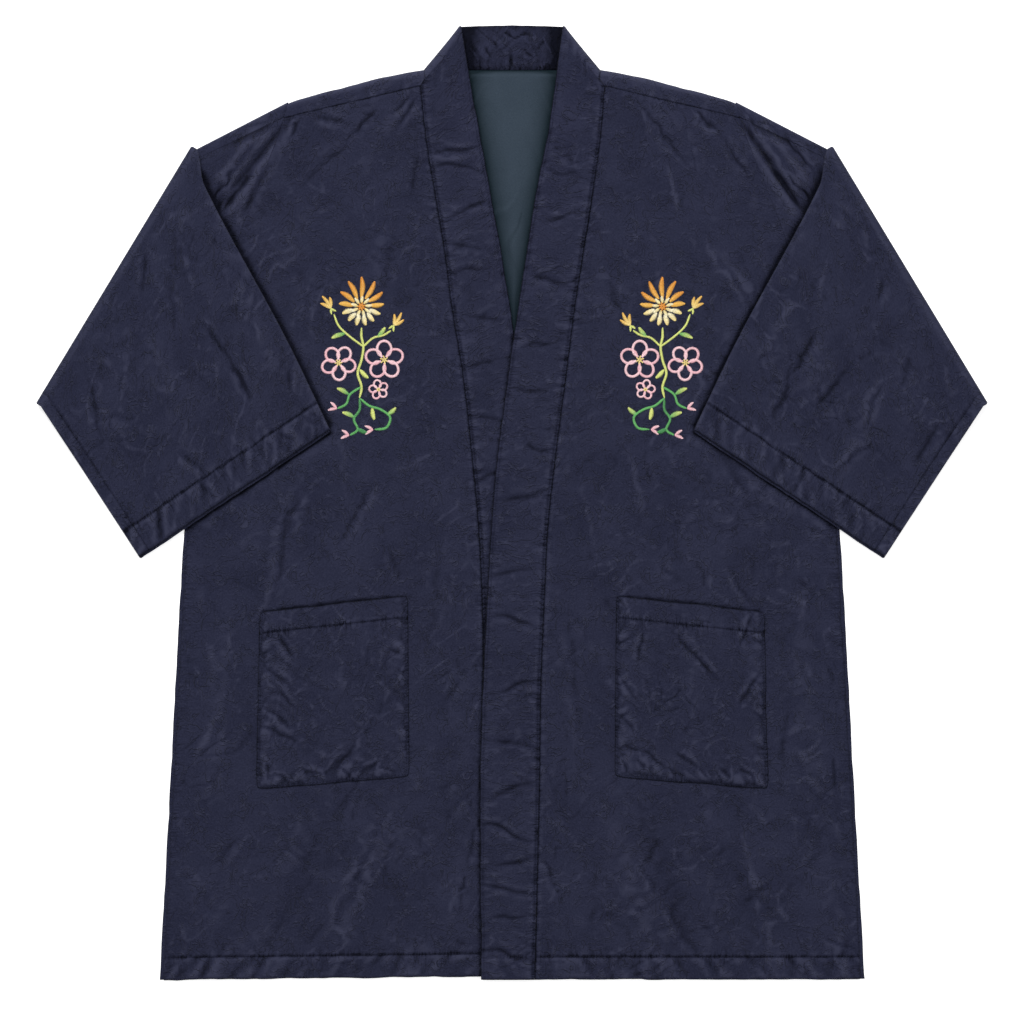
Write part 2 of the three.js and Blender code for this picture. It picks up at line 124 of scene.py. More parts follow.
def foldRise(rows, x, y):
    # every row is a soft fold: x0, y0, x1, y1, half width, height; a trough is negative
    rise = np.zeros(np.broadcast(x, y).shape)
    for x0, y0, x1, y1, width, height in rows:
        share, across = besideLine(x, y, (x0, y0), (x1, y1))
        taper = smoothStep(share, -0.1, 0.3) * (1 - smoothStep(share, 0.65, 1.1))
        rise = rise + height * taper * bell(across, width)
    return rise


def creaseRise(rows, x, y):
    # sharp creases that wander a little, deepest in the middle, each with a low ridge beside it
    wanderX = x + 2.4 * softNoise(x / 12, y / 12, 61) + 0.9 * softNoise(x / 5, y / 5, 62)
    wanderY = y + 2.4 * softNoise(x / 12, y / 12, 63) + 0.9 * softNoise(x / 5, y / 5, 64)
    rise = np.zeros(np.broadcast(x, y).shape)
    for k, (x0, y0, x1, y1, width, height) in enumerate(rows):
        share, across = besideLine(wanderX, wanderY, (x0, y0), (x1, y1))
        taper = smoothStep(share, -0.15, 0.35) * (1 - smoothStep(share, 0.55, 1.15))
        half = 0.62 * width * (0.45 + 0.55 * taper)
        beside = 2.1 * half * (1 if k % 3 else -1)
        trough = bell(across, half, 1.5) - 0.4 * bell(across - beside, 1.7 * half)
        rise = rise + height * taper * trough
    return rise


def softNoise(x, y, seed):
    lattice = np.random.RandomState(seed).uniform(-1, 1, (128, 128))
    x, y = np.broadcast_arrays(x, y)
    i, j = np.floor(x).astype(int), np.floor(y).astype(int)
    u, v = [t * t * t * (t * (t * 6 - 15) + 10) for t in (x - i, y - j)]
    near, far = [
        mix(lattice[i % 128, k % 128], lattice[(i + 1) % 128, k % 128], u) for k in (j, j + 1)
    ]
    return mix(near, far, v)


crinkle = {  # heights and sizes of the soft ridges that washing leaves
    "broad": 0.54, "ridge": 0.41, "fine": 0.12, "warp": 6.0, "warpSize": 21.0, "patchSize": 52.0,
    "ridgeSize": (14.0, 33.0), "breakSize": (27.0, 60.0), "broadSize": (22.0, 50.0),
    "fineSize": (7.0, 8.0), "directions": (0.25, 0.95, 2.2),
}
pucker = {"height": 0.5, "reach": 7.5, "wave": 5.6, "grooveHalf": 1.4}


def washedCrinkle(x, y, seed):
    # soft ridges in patches that run in different directions
    x, y = np.broadcast_arrays(np.asarray(x, float), np.asarray(y, float))
    warp, patch = crinkle["warpSize"], crinkle["patchSize"]
    warpX = x + crinkle["warp"] * softNoise(x / warp, y / warp, seed + 7)
    warpY = y + crinkle["warp"] * softNoise(x / warp, y / warp, seed + 9)

    def noise(a, b, size, shift):
        return softNoise(a / crinkle[size][0], b / crinkle[size][1], seed + shift)

    total = np.zeros(x.shape)
    for k, turn in enumerate(crinkle["directions"]):
        a = warpX * math.cos(turn) + warpY * math.sin(turn)
        b = warpY * math.cos(turn) - warpX * math.sin(turn)
        part = smoothStep(softNoise(x / patch + 5 * k, y / patch, seed + 1), -0.25, 0.5)
        ridge = np.clip(1 - np.abs(noise(a, b, "ridgeSize", 2 + k)) * 3.2, 0, 1) ** 1.3
        turned = noise(a, b, "breakSize", 3 + k)
        raised = np.where(turned > 0, 1, -1) * smoothStep(np.abs(turned), 0.05, 0.35)
        broad = 0.6 * crinkle["broad"] * noise(a, b, "broadSize", 4 + k)
        total = total + part * crinkle["ridge"] * ridge * raised + (0.35 + 0.65 * part) * broad
    return total + crinkle["fine"] * noise(warpX, warpY, "fineSize", 5)


def seamPucker(seam, distance, along, seed):
    # short puckers running out of a line of sewing, uneven in length and spacing; a seam
    # is the share of their height and the depth of the groove that the thread pulls
    share, groove = seam
    wave = pucker["wave"]
    pull = softNoise(along / wave, 0.5 + distance / 40, seed)
    pull = pull + 0.6 * softNoise(along / (wave * 2.3), distance / 30, seed + 1)
    reach = pucker["reach"] * (1 + 0.6 * softNoise(along / 17, 3 + 0 * along, seed + 2))
    ripple = pucker["height"] * pull * bell(distance, reach, 1)
    return share * (ripple - groove * bell(distance, pucker["grooveHalf"], 1.6))


def hemRipple(fromEdge, depth, along, seed):
    # slanting ripples between the edge of a hem and its line of sewing
    zone = smoothStep(fromEdge, 0, 5) * (1 - smoothStep(fromEdge, depth - 4, depth + 2))
    slanted = along + 0.55 * fromEdge
    ripple = softNoise(slanted / 8, fromEdge / 26, seed)
    ripple = ripple + 0.5 * softNoise(slanted / 17, 2 + 0 * along, seed + 1)
    return 0.7 * zone * ripple + 0.3 * zone - 0.5 * bell(fromEdge, 1.3, 1)


def fading(strength, distance, sharp=2.0):
    # a strength is an amount and how far it reaches
    return strength[0] * bell(distance, strength[1], sharp)


def edgeWave(along, seed):
    # how far a cut edge strays from its line
    slow = softNoise(along / 30, 0.5 + 0 * along, seed)
    return 0.75 * slow + 0.45 * softNoise(along / 9, 7.5 + 0 * along, seed)


def sideX(y):
    share = (y - jacket["hemY"]) / (jacket["armpit"][1] - jacket["hemY"])
    return mix(jacket["hemHalf"], jacket["armpit"][0], share)


def bandSeam(side, y):
    return readTable(bandTable, side + "Seam", y)


def shoulderHeight(x):
    return readTable(shoulderTable, "height", x)


def aboveHem(side, y):
    return y - jacket["hemY"] - jacket["hemLift"][side]


def hemDrop(side, x, y):
    # how far the cloth near a slanting hem is shifted down
    near = 1 - smoothStep(y, jacket["hemY"] + 30, jacket["hemY"] + 150)
    return jacket["hemSlant"][side] * near * np.clip(x / jacket["hemHalf"], 0, 1)


def evenSteps(length, edgeStart, edgeEnd, fine, coarse):
    # shares from 0 to 1 along a length, close together for a way in from either end
    middle = max(length - edgeStart - edgeEnd, coarse)
    parts = [np.zeros(1)]
    for span, step in ((edgeStart, fine), (middle, coarse), (edgeEnd, fine)):
        if span:
            parts.append(parts[-1][-1] + np.linspace(0, span, max(round(span / step), 1) + 1)[1:])
    places = np.concatenate(parts)
    return places / places[-1]


def blurred(values, times):
    for _ in range(times):
        for axis in (0, 1):
            padded = np.pad(values, [(1, 1) if k == axis else (0, 0) for k in (0, 1)], mode="edge")
            before = np.take(padded, range(0, values.shape[axis]), axis)
            after = np.take(padded, range(2, values.shape[axis] + 2), axis)
            values = (before + 2 * values + after) / 4
    return values


# painted shade in hollows and a painted highlight on ridges reach full colour at these millimetres
# of relief; rim is painted shade on cut edges
reliefShade = {"fine": 0.6, "broad": 4.0, "rim": 0.5}  # millimetres of relief for full colour


def sideMarks(side, **marks):
    # marks worked out on the wearer's left, kept there or mirrored
    return {key: mark if side == "left" else mark[:, ::-1] for key, mark in marks.items()}


def wallAround(name, grid, wall, marks, used=None, roundOut=0.15):
    # a closed wall of cloth round a grid of points, with rounded edges; the marks tell
    # the material where seams are dark, where shade is painted and where a seam gathers it
    rows, columns = grid.shape[:2]
    if used is None:
        used = np.ones((rows - 1, columns - 1), bool)
    stepsAcross = np.linalg.norm(np.diff(grid, axis=1), axis=2)
    stepsAlong = np.linalg.norm(np.diff(grid, axis=0), axis=2)
    u = np.concatenate([np.zeros((rows, 1)), np.cumsum(stepsAcross, axis=1)], axis=1)
    v = np.concatenate([np.zeros((1, columns)), np.cumsum(stepsAlong, axis=0)], axis=0)
    u = u - u[:, columns // 2:columns // 2 + 1]
    uv = np.stack([u, v], axis=2).reshape(-1, 2)
    # painted shade in the hollows of the relief and a painted highlight on its ridges, added to the
    # marks
    settled = blurred(grid[..., 2], 4)
    fineRelief = np.clip((grid[..., 2] - settled) / reliefShade["fine"], -0.7, 0.45)
    broadRelief = np.clip((settled - blurred(settled, 36)) / reliefShade["broad"], -0.6, 0.15)
    worn = np.clip(marks.get("worn", 0) - fineRelief - broadRelief, -0.6, 1.3)
    normal = np.cross(np.gradient(grid, axis=1), np.gradient(grid, axis=0))
    normal = normal / np.maximum(np.linalg.norm(normal, axis=2, keepdims=True), 1e-9)
    top = (grid + normal * wall / 2).reshape(-1, 3)
    low = (grid - normal * wall / 2).reshape(-1, 3)
    number = np.arange(rows * columns).reshape(rows, columns)
    corners = (number[:-1, :-1], number[:-1, 1:], number[1:, 1:], number[1:, :-1])
    upper = np.stack([corner[used] for corner in corners], axis=1)
    edges = np.concatenate([upper[:, [k, (k + 1) % 4]] for k in range(4)])
    code = edges[:, 0] * rows * columns + edges[:, 1]
    back = edges[:, 1] * rows * columns + edges[:, 0]
    border = edges[~np.isin(code, back)]
    out = np.cross(top[border[:, 1]] - top[border[:, 0]], normal.reshape(-1, 3)[border[:, 0]])
    out = out / np.maximum(np.linalg.norm(out, axis=1, keepdims=True), 1e-9)
    outward = np.zeros_like(top)
    np.add.at(outward, border[:, 0], out)
    np.add.at(outward, border[:, 1], out)
    rim = np.unique(border)
    push = outward[rim] / np.maximum(np.linalg.norm(outward[rim], axis=1, keepdims=True), 1e-9)
    edge = (top[rim] + low[rim]) / 2 + push * roundOut
    place = np.zeros(rows * columns, int)
    place[rim] = np.arange(len(rim)) + 2 * rows * columns
    p, q = border[:, 0], border[:, 1]
    under = rows * columns
    upperRim = np.stack([q, p, place[p], place[q]], axis=1)
    lowerRim = np.stack([place[q], place[p], p + under, q + under], axis=1)
    faces = np.concatenate([upper, upper[:, ::-1] + under, upperRim, lowerRim])
    points = np.concatenate([top, low, edge])
    kept, faces = np.unique(faces, return_inverse=True)
    points = points[kept]
    points[:, 2] = np.maximum(points[:, 2], 0)
    pointUv = np.concatenate([uv, uv, uv[rim]])[kept]
    piece = meshFrom(name, points / 1000, faces.reshape(-1, 4))
    layer = piece.data.uv_layers.new(name="cloth")
    layer.data.foreach_set("uv", (pointUv[faces.ravel()] / 1000).astype(np.float32).ravel())
    for key in ("worn", "pullDown", "pullAcross"):
        values = worn if key == "worn" else marks.get(key, 0)
        values = (values + np.zeros((rows, columns))).reshape(-1)
        # the rims get more painted shade
        atRim = values[rim] + (reliefShade["rim"] if key == "worn" else 0)
        layer = piece.data.attributes.new(key, "FLOAT", "POINT")
        values = np.concatenate([values, values, atRim])[kept]
        layer.data.foreach_set("value", values.astype(np.float32))
    return piece


def meshFrom(name, points, faces):
    mesh = bpy.data.meshes.new(name)
    sides = faces.shape[1]
    mesh.vertices.add(len(points))
    mesh.vertices.foreach_set("co", points.astype(np.float32).ravel())
    mesh.loops.add(faces.size)
    mesh.loops.foreach_set("vertex_index", faces.astype(np.int32).ravel())
    mesh.polygons.add(len(faces))
    mesh.polygons.foreach_set("loop_start", np.arange(0, faces.size, sides, dtype=np.int32))
    mesh.polygons.foreach_set("use_smooth", np.ones(len(faces), bool))
    mesh.update(calc_edges=True)
    piece = bpy.data.objects.new(name, mesh)
    bpy.context.scene.collection.objects.link(piece)
    return piece


def onSide(side, grid):
    # points worked out on the wearer's left, kept there or mirrored
    if side == "left":
        return grid
    mirrored = grid[:, ::-1].copy()
    mirrored[..., 0] *= -1
    return mirrored


def finishPiece(piece, material, slot, *nodes):
    piece.data.materials.append(material)
    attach(piece, "root")
    if nodes:
        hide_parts(*nodes)
    triangles = sum(len(face.vertices) - 2 for face in piece.data.polygons)
    print(piece.name, triangles, "triangles")
    return piece


def newMaterial(name):
    material = bpy.data.materials.new(name)
    material.use_nodes = True
    tree = material.node_tree
    return material, tree, tree.nodes["Principled BSDF"]


def setInputs(node, values):
    for key, value in values.items():
        node.inputs[key].default_value = value


def addNode(tree, kind, links=(), **values):
    # links are pairs of an input and the output that feeds it
    node = tree.nodes.new(kind)
    for key, value in values.items():
        if hasattr(node, key):
            setattr(node, key, value)
        else:
            node.inputs[key.replace("_", " ")].default_value = value
    for target, source in links:
        tree.links.new(source, node.inputs[target])
    return node


navy = {
    "seamAndShadeColour": (0.0016, 0.0018, 0.0042, 1), "dark": (0.0108, 0.0120, 0.0262, 1),
    "light": (0.0232, 0.0252, 0.0490, 1), "highlightColour": (0.0370, 0.0395, 0.0700, 1),
    "roughness": 0.70, "sheen": 0.03, "specular": 0.1, "gloss": (0.55, 0.6, 1.0, 1),
    "lineScale": 62.0, "lineDepth": 0.0012, "lineStretch": (1, 1, 1), "lineHighlight": 0.6,
    "patchScale": 46.0, "softScale": 75.0, "softDepth": 0.0013, "mottleScale": 17.0,
    "facetScale": 34.0, "grainScale": 560.0, "grainDepth": 0.00017,
    "ribs": 1000.0, "ribDepth": 0.00004, "ribAngle": math.radians(58),
    "pucker": (190, 34, 1), "puckerDepth": 0.0045, "puckerShade": 0.62,
}


def clothMaterial(name, look):
    material, tree, shader = newMaterial(name)
    uv = addNode(tree, "ShaderNodeUVMap", uv_map="cloth").outputs["UV"]

    def marked(mark):
        return addNode(tree, "ShaderNodeAttribute", attribute_name=mark).outputs["Fac"]

    def ranged(source, low, high):
        links = [("Value", source)]
        return addNode(tree, "ShaderNodeMapRange", links, From_Min=low, From_Max=high).outputs[0]

    def fed(node, slots, values):
        # each value is a fixed one or the output of another node
        for slot, value in zip(slots, values):
            if isinstance(value, (float, tuple)):
                node.inputs[slot].default_value = value
            else:
                tree.links.new(value, node.inputs[slot])
        return node

    def calculated(operation, *values):
        node = addNode(tree, "ShaderNodeMath", operation=operation)
        return fed(node, range(3), values).outputs[0]

    def blend(*values):
        node = addNode(tree, "ShaderNodeMix", data_type="RGBA")
        return fed(node, (0, 6, 7), values).outputs[2]

    def raised(height, depth, normal=None):
        links = [("Height", height)] + ([("Normal", normal)] if normal else [])
        return addNode(tree, "ShaderNodeBump", links, Distance=depth).outputs[0]

    def mapped(**values):
        return addNode(tree, "ShaderNodeMapping", [("Vector", uv)], **values).outputs[0]

    def noise(vector, **values):
        return addNode(tree, "ShaderNodeTexNoise", [("Vector", vector)], **values).outputs["Fac"]

    def fromMiddle(source):
        return calculated("ABSOLUTE", calculated("SUBTRACT", source, 0.5))

    def puckers(mark, scale):
        # folded ripples that run out of a seam, and painted shade in the sharp hollows between them
        amount = marked(mark)
        folded = fromMiddle(noise(mapped(Scale=scale), Scale=1.0, Detail=1.0))
        height = calculated("MULTIPLY", calculated("MINIMUM", folded, 0.2), amount)
        return height, calculated("MULTIPLY", ranged(folded, 0.05, 0.0), amount)

    # squiggling crease lines: the places where a twisted noise crosses its middle
    lines = noise(
        mapped(Scale=look["lineStretch"]),
        Scale=look["lineScale"], Detail=2.0, Roughness=0.45, Distortion=2.2,
    )
    patch = noise(uv, Scale=look["patchScale"], Detail=2.0, Roughness=0.6)
    line = calculated("MULTIPLY", ranged(fromMiddle(lines), 0.05, 0.0), ranged(patch, 0.40, 0.62))
    soft = noise(uv, Scale=look["softScale"], Detail=3.0, Roughness=0.55, Distortion=0.6)
    grain = noise(uv, Scale=look["grainScale"], Detail=2.0, Roughness=0.7)
    mottle = noise(uv, Scale=look["mottleScale"], Detail=4.0, Roughness=0.6)
    turned = mapped(Rotation=(0, 0, look["ribAngle"]))
    rib = addNode(tree, "ShaderNodeTexWave", [("Vector", turned)], Scale=look["ribs"] / math.tau)
    facets = addNode(
        tree, "ShaderNodeTexVoronoi", [("Vector", uv)],
        feature="SMOOTH_F1", Scale=look["facetScale"], Smoothness=0.35,
    )
    down, downHollow = puckers("pullDown", look["pucker"])
    across, acrossHollow = puckers("pullAcross", (look["pucker"][1], look["pucker"][0], 1))
    # colour: mottled, with a painted highlight on ridges and crease lines, and dark seams with
    # painted shade in hollows, creases and under edges
    worn = marked("worn")
    tone = calculated("MULTIPLY_ADD", grain, 2.3, mottle)
    tone = calculated("MULTIPLY_ADD", facets.outputs["Color"], 0.35, tone)
    colour = blend(ranged(tone, 1.3, 2.35), look["dark"], look["light"])
    ridge = calculated("MULTIPLY_ADD", line, look["lineHighlight"], ranged(worn, -0.08, -0.7))
    colour = blend(ridge, colour, look["highlightColour"])
    hollow = calculated("ADD", downHollow, acrossHollow)
    # painted shade in the pucker hollows, added to the dark seams and painted shade of the marks
    hollow = calculated("MULTIPLY_ADD", hollow, look["puckerShade"], worn)
    colour = blend(ranged(hollow, 0.1, 1.15), colour, look["seamAndShadeColour"])
    # relief: soft crumple, then crease lines, puckers, yarn and the diagonal rib
    normal = raised(soft, look["softDepth"])
    for height, depth in (
        (line, "lineDepth"), (calculated("ADD", down, across), "puckerDepth"),
        (grain, "grainDepth"), (rib.outputs["Fac"], "ribDepth"),
    ):
        normal = raised(height, look[depth], normal)
    tree.links.new(colour, shader.inputs["Base Color"])
    tree.links.new(normal, shader.inputs["Normal"])
    setInputs(shader, {
        "Roughness": look["roughness"], "Sheen Weight": look["sheen"], "Sheen Roughness": 0.45,
        "Specular IOR Level": look["specular"], "Specular Tint": look["gloss"],
    })
    return material


navyTwill = clothMaterial("navyTwill", navy)
bandTwill = clothMaterial("bandTwill", {**navy, "lineStretch": (0.6, 1.1, 1)})
tealLining = clothMaterial("tealLining", {
    **navy, "seamAndShadeColour": (0.003, 0.008, 0.012, 1), "dark": (0.0260, 0.0375, 0.0535, 1),
    "light": (0.0340, 0.0475, 0.0665, 1), "highlightColour": (0.0380, 0.0530, 0.0740, 1), "roughness": 0.66,
    "gloss": (0.7, 0.9, 1.0, 1), "lineDepth": 0.0001, "lineHighlight": 0.0, "softDepth": 0.0004,
    "ribs": 1400.0,
})
print("cloth materials made")

front = {
    "bodyCreases": 0.6, "chestCreases": 1.2,  # shares of the creases' depths below
    "seams": {"band": (1.0, 0.7), "shoulder": (0.8, 0.3), "hem": (0.8, 0.8)},
    "shades": {
        "band": (0.9, 1.5), "shoulder": (0.5, 1.1), "hemEdge": (0.3, 2.0), "lap": (1.0, 2.6),
    },
    "gathers": {"band": (1.0, 7.0), "shoulder": (0.8, 7.0), "hem": (1.2, 7.0), "side": (0.7, 8.0)},
    "width": 270.0,
    "steps": {  # fine stretches at the start and end, fine step, coarse step
        "lower": (30, 0, 1.6, 2.4), "upper": (0, 10, 1.6, 2.4), "across": (12, 8, 1.5, 2.9),
    },
    "folds": {
        "left": [
            (240, 404, 318, 300, 24, 3.6), (233, 411, 308, 304, 5.5, -3.9),
            (262, 398, 322, 322, 5, 2), (272, 352, 304, 306, 3.5, -2.6),
            (208, 400, 272, 280, 12, 1.5), (163, 419, 233, 313, 14, 1.5),
            (87, 340, 74, 215, 12, -1.4), (202, 276, 262, 205, 12, 2), (215, 70, 262, -20, 14, -1),
            (130, -312, 200, -487, 18, -1.2), (92, -312, 150, -469, 22, 1.4),
            (296, -120, 318, -330, 20, 1.2),
        ],
        "right": [
            (240, 404, 318, 300, 24, 3.6), (230, 408, 312, 305, 5.5, -3.9),
            (262, 398, 322, 322, 5, 2), (270, 350, 303, 305, 3.5, -2.8),
            (256, 356, 284, 298, 4, -2), (228, 394, 280, 300, 12, 1.2),
            (113, 425, 169, 329, 14, 1.6), (96, 371, 104, 295, 12, -1.0),
            (192, 339, 263, 224, 18, 1.6), (164, 10, 206, -93, 14, -0.5),
            (169, -301, 248, -470, 18, -1.2), (118, -312, 192, -480, 22, 1.5),
            (292, -90, 322, -320, 20, 1.2),
        ],
    },
    "creases": {
        "left": [
            (290, 345, 312, 318, 3, -1.6), (248, 401, 304, 322, 5, 0.8),
            (190, 413, 218, 388, 5, -1.5), (218, 388, 252, 336, 6, -1), (134, 419, 186, 350, 6, -1),
            (206, 270, 252, 206, 4.5, -1.3), (197, 282, 238, 222, 5, 1),
            (180, 168, 206, 126, 6, -0.9), (218, 52, 252, 0, 5, -1), (265, -2, 283, -8, 4, -0.8),
            (308, -25, 332, -34, 4, -0.9), (226, -66, 254, -112, 4, -1.4),
            (194, -58, 208, -96, 5, -0.9), (30, -366, 52, -422, 4, -1.2),
            (166, -428, 200, -487, 6, -1), (336, -262, 341, -312, 4, -1),
            (330, -168, 337, -190, 4, -0.8), (326, -455, 356, -468, 4, -1),
            (160, 360, 176, 300, 7, 0.8), (122, 60, 140, -20, 9, 0.8),
            (60, -120, 72, -240, 8, -0.8), (290, -200, 282, -290, 7, -0.8),
            (240, -340, 262, -440, 9, 0.9), (100, 250, 122, 170, 9, -0.8),
            (288, 382, 316, 348, 5, -1.6), (72, 20, 92, -70, 7, 0.7), (150, 250, 168, 190, 7, 0.7),
        ],
        "right": [
            (286, 332, 302, 304, 3.5, -1.2), (290, 352, 312, 318, 3, -1.4),
            (142, 413, 170, 382, 6, -1), (170, 382, 223, 329, 7, -0.9),
            (100, 423, 121, 392, 5, -0.9), (107, 425, 126, 409, 4, -0.9),
            (222, 402, 231, 385, 4, -1.2), (99, 371, 108, 318, 7, -0.5),
            (76, 266, 62, 195, 6, -0.9), (234, -7, 251, -105, 6, -1.1),
            (146, 24, 184, -49, 6, -0.9), (223, 14, 237, -36, 5, -0.9),
            (129, -46, 120, -84, 5, -0.9), (171, -305, 205, -382, 7, -1),
            (205, -382, 258, -466, 7, -1), (146, -357, 195, -462, 7, -1),
            (286, -351, 321, -385, 6, -0.9), (37, -336, 48, -382, 4, -1.2),
            (48, -382, 55, -434, 5, -1), (46, -462, 66, -456, 4, -1),
            (311, -225, 336, -277, 6, 0.9), (120, 300, 140, 200, 10, -0.8),
            (180, 80, 170, -10, 10, 0.7), (76, -40, 84, -160, 9, -0.8),
            (205, 405, 174, 399, 5, -0.9),
        ],
    },
}


def frontHeight(side, x, y):
    base = level[side]
    below = np.maximum(readTable(shoulderTable, "y", x) - jacket["allowance"] - y, 0)
    fromBand = np.maximum(x - bandSeam(side, y), 0)
    fromSide = np.maximum(sideX(y) - jacket["sideInset"] - x, 0)
    shoulderRise = np.maximum(shoulderHeight(x) - base, 0) * np.exp(-below / 50)
    bandRise = np.maximum(readTable(bandTable, side + "Height", y) - base, 0)
    bandRise = bandRise * np.exp(-fromBand / 34)
    rise = np.cbrt(shoulderRise ** 3 + bandRise ** 3)
    beside = 1 - smoothStep(y, jacket["armpit"][1] - 80, jacket["armpit"][1])
    drop = (base - level["side"]) * beside * np.exp(-fromSide / 14)
    folds = foldRise(front["folds"][side], x, y)
    return np.maximum(base + rise - drop + folds - 1.3 * sleeveShadow(x, y), level["side"])


def shoulderSeamY(x):
    inner, outer = jacket["seamInner"], jacket["seamOuter"]
    return mix(inner[1], outer[1], (x - inner[0]) / (outer[0] - inner[0]))


def frontDetail(side, x, y):
    # creases, crinkles, puckered seams and the sewn hem
    seed = seeds[side]
    hem = aboveHem(side, y)
    pulled = mix(front["bodyCreases"], front["chestCreases"], smoothStep(y, 270, 330))
    detail = pulled * creaseRise(front["creases"][side], x, y) + washedCrinkle(x, y, seed)
    for name, distance, along, shift in (
        ("band", x - bandSeam(side, y), y, 10), ("shoulder", shoulderSeamY(x) - y, x, 13),
        ("hem", hem - jacket["hemDepth"], x, 19),
    ):
        detail = detail + seamPucker(front["seams"][name], distance, along, seed + shift)
    return detail + hemRipple(hem, jacket["hemDepth"], x, seed + 22)


def frontShade(side, x, y):
    # dark seams and hem stitching, painted shadow at the pocket mouth, beside the folded sleeve and
    # under the lapping band, and darker towards the hem edge
    shades = front["shades"]
    hem = aboveHem(side, y)
    shade = fading(shades["band"], x - bandSeam(side, y))
    shade = shade + fading(shades["shoulder"], shoulderSeamY(x) - y)
    shade = shade + pocketMouthShade(x, y) + sleeveShadow(x, y)
    if side == "right":  # beside the open edge of the band that laps over it
        # painted shadow beside the open edge of the band that laps over it
        lapped = x + readTable(bandTable, "leftEdge", y) - 0.4
        shade = shade + fading(shades["lap"], np.maximum(lapped, 0))
    dash = 0.5 + 0.55 * softNoise(x / 2.6, 0 * x, 3)
    return shade + dash * bell(hem - jacket["hemDepth"], 1.3) + fading(shades["hemEdge"], hem)


def pocketMouthShade(x, y):
    # painted shadow in the slit along the mouth of a pocket
    inner, outer = pocket["innerTop"], pocket["outerTop"]
    share = (x - inner[0]) / (outer[0] - inner[0])
    above = y - mix(inner[1], outer[1], share)
    depth = 1.2 + 1.8 * np.clip(np.sin(math.pi * np.clip(share, 0, 1)), 0, 1)
    within = smoothStep(share, -0.01, 0.03) * (1 - smoothStep(share, 0.97, 1.01))
    return 1.1 * within * bell(above, depth, 3)


def sleeveShadow(x, y):
    # painted shadow in the gap beside the folded sleeve and under its cuff
    share, away = besideLine(x, y, edgeStart, sleeve["cuffInner"])
    away = np.maximum(away + edgeBow(share), 0)
    reach = mix(6.5, 13, bell(share - 0.15, 0.06)) - 1.5 * share
    along = smoothStep(share, 0.03, 0.1) * (1 - smoothStep(share, 0.985, 1.01))
    gap = 1.25 * bell(away, reach, 1.4) * along
    share, below = besideLine(x, y, sleeve["cuffInner"], sleeve["cuffOuter"])
    below = np.maximum(below - sleeve["stagger"], 0)
    return np.maximum(gap, bell(below, 3.4, 1.4) * smoothStep(share, -0.02, 0.01))


def frontMiddle(side, x, y):
    return np.maximum(frontHeight(side, x, y) + frontDetail(side, x, y), level["side"] - 0.2)


def makeFront(side):
    seed = seeds[side] + 40
    steps, gathers = front["steps"], front["gathers"]
    bottom = jacket["hemY"] + jacket["hemLift"][side]
    armpitY = jacket["armpit"][1]
    innerTop, outerTop = jacket["seamInner"][1], jacket["seamOuter"][1]
    lower = evenSteps(armpitY - bottom, *steps["lower"])
    upper = evenSteps(innerTop - armpitY, *steps["upper"])[1:]
    innerY, outerY = [
        np.concatenate([mix(bottom, armpitY, lower), mix(armpitY, topY, upper)])
        for topY in (innerTop, outerTop)
    ]
    inset = mix(jacket["sideInset"], 0.05, np.clip((outerY - armpitY) / 45, 0, 1))
    above = outerY > armpitY
    outerX = np.where(above, readTable(armholeTable, "x", outerY), sideX(outerY)) - inset
    outerX = outerX + edgeWave(outerY, seed) * (outerY < armpitY - 10)
    innerX = bandSeam(side, innerY) + jacket["seamGap"] / 2
    across = evenSteps(front["width"], *steps["across"])
    x = mix(innerX[:, None], outerX[:, None], across[None])
    y = mix(innerY[:, None], outerY[:, None], across[None])
    y = y + edgeWave(x, seed + 1) * bell(y - bottom, 16, 1)
    grid = np.stack([x, y - hemDrop(side, x, y), frontMiddle(side, x, y)], axis=2)
    hem = y - bottom
    uneven = 0.75 + 0.6 * softNoise(x / 24, y / 24, seed + 2)
    down = fading(gathers["hem"], hem - jacket["hemDepth"], 1) + 0.3 * smoothStep(hem, 22, 14)
    down = down + fading(gathers["shoulder"], shoulderSeamY(x) - y, 1)
    pulled = fading(gathers["band"], x - bandSeam(side, y), 1)
    pulled = pulled + (y < armpitY) * fading(gathers["side"], sideX(y) - x - 6, 1)
    shade = frontShade(side, x, y)
    marks = sideMarks(side, worn=shade, pullDown=uneven * down, pullAcross=uneven * pulled)
    piece = wallAround("front_" + side + "_cloth", onSide(side, grid), jacket["wall"], marks)
    return finishPiece(piece, navyTwill, "shell", "front_" + side)


back = {
    "steps": {"lower": (26, 0, 2, 12), "upper": (0, 16, 4, 12), "outer": (0, 8, 1.5, 4)},
    "upperLength": 360.0, "outerWidth": 150.0, "turnRows": 9,
}


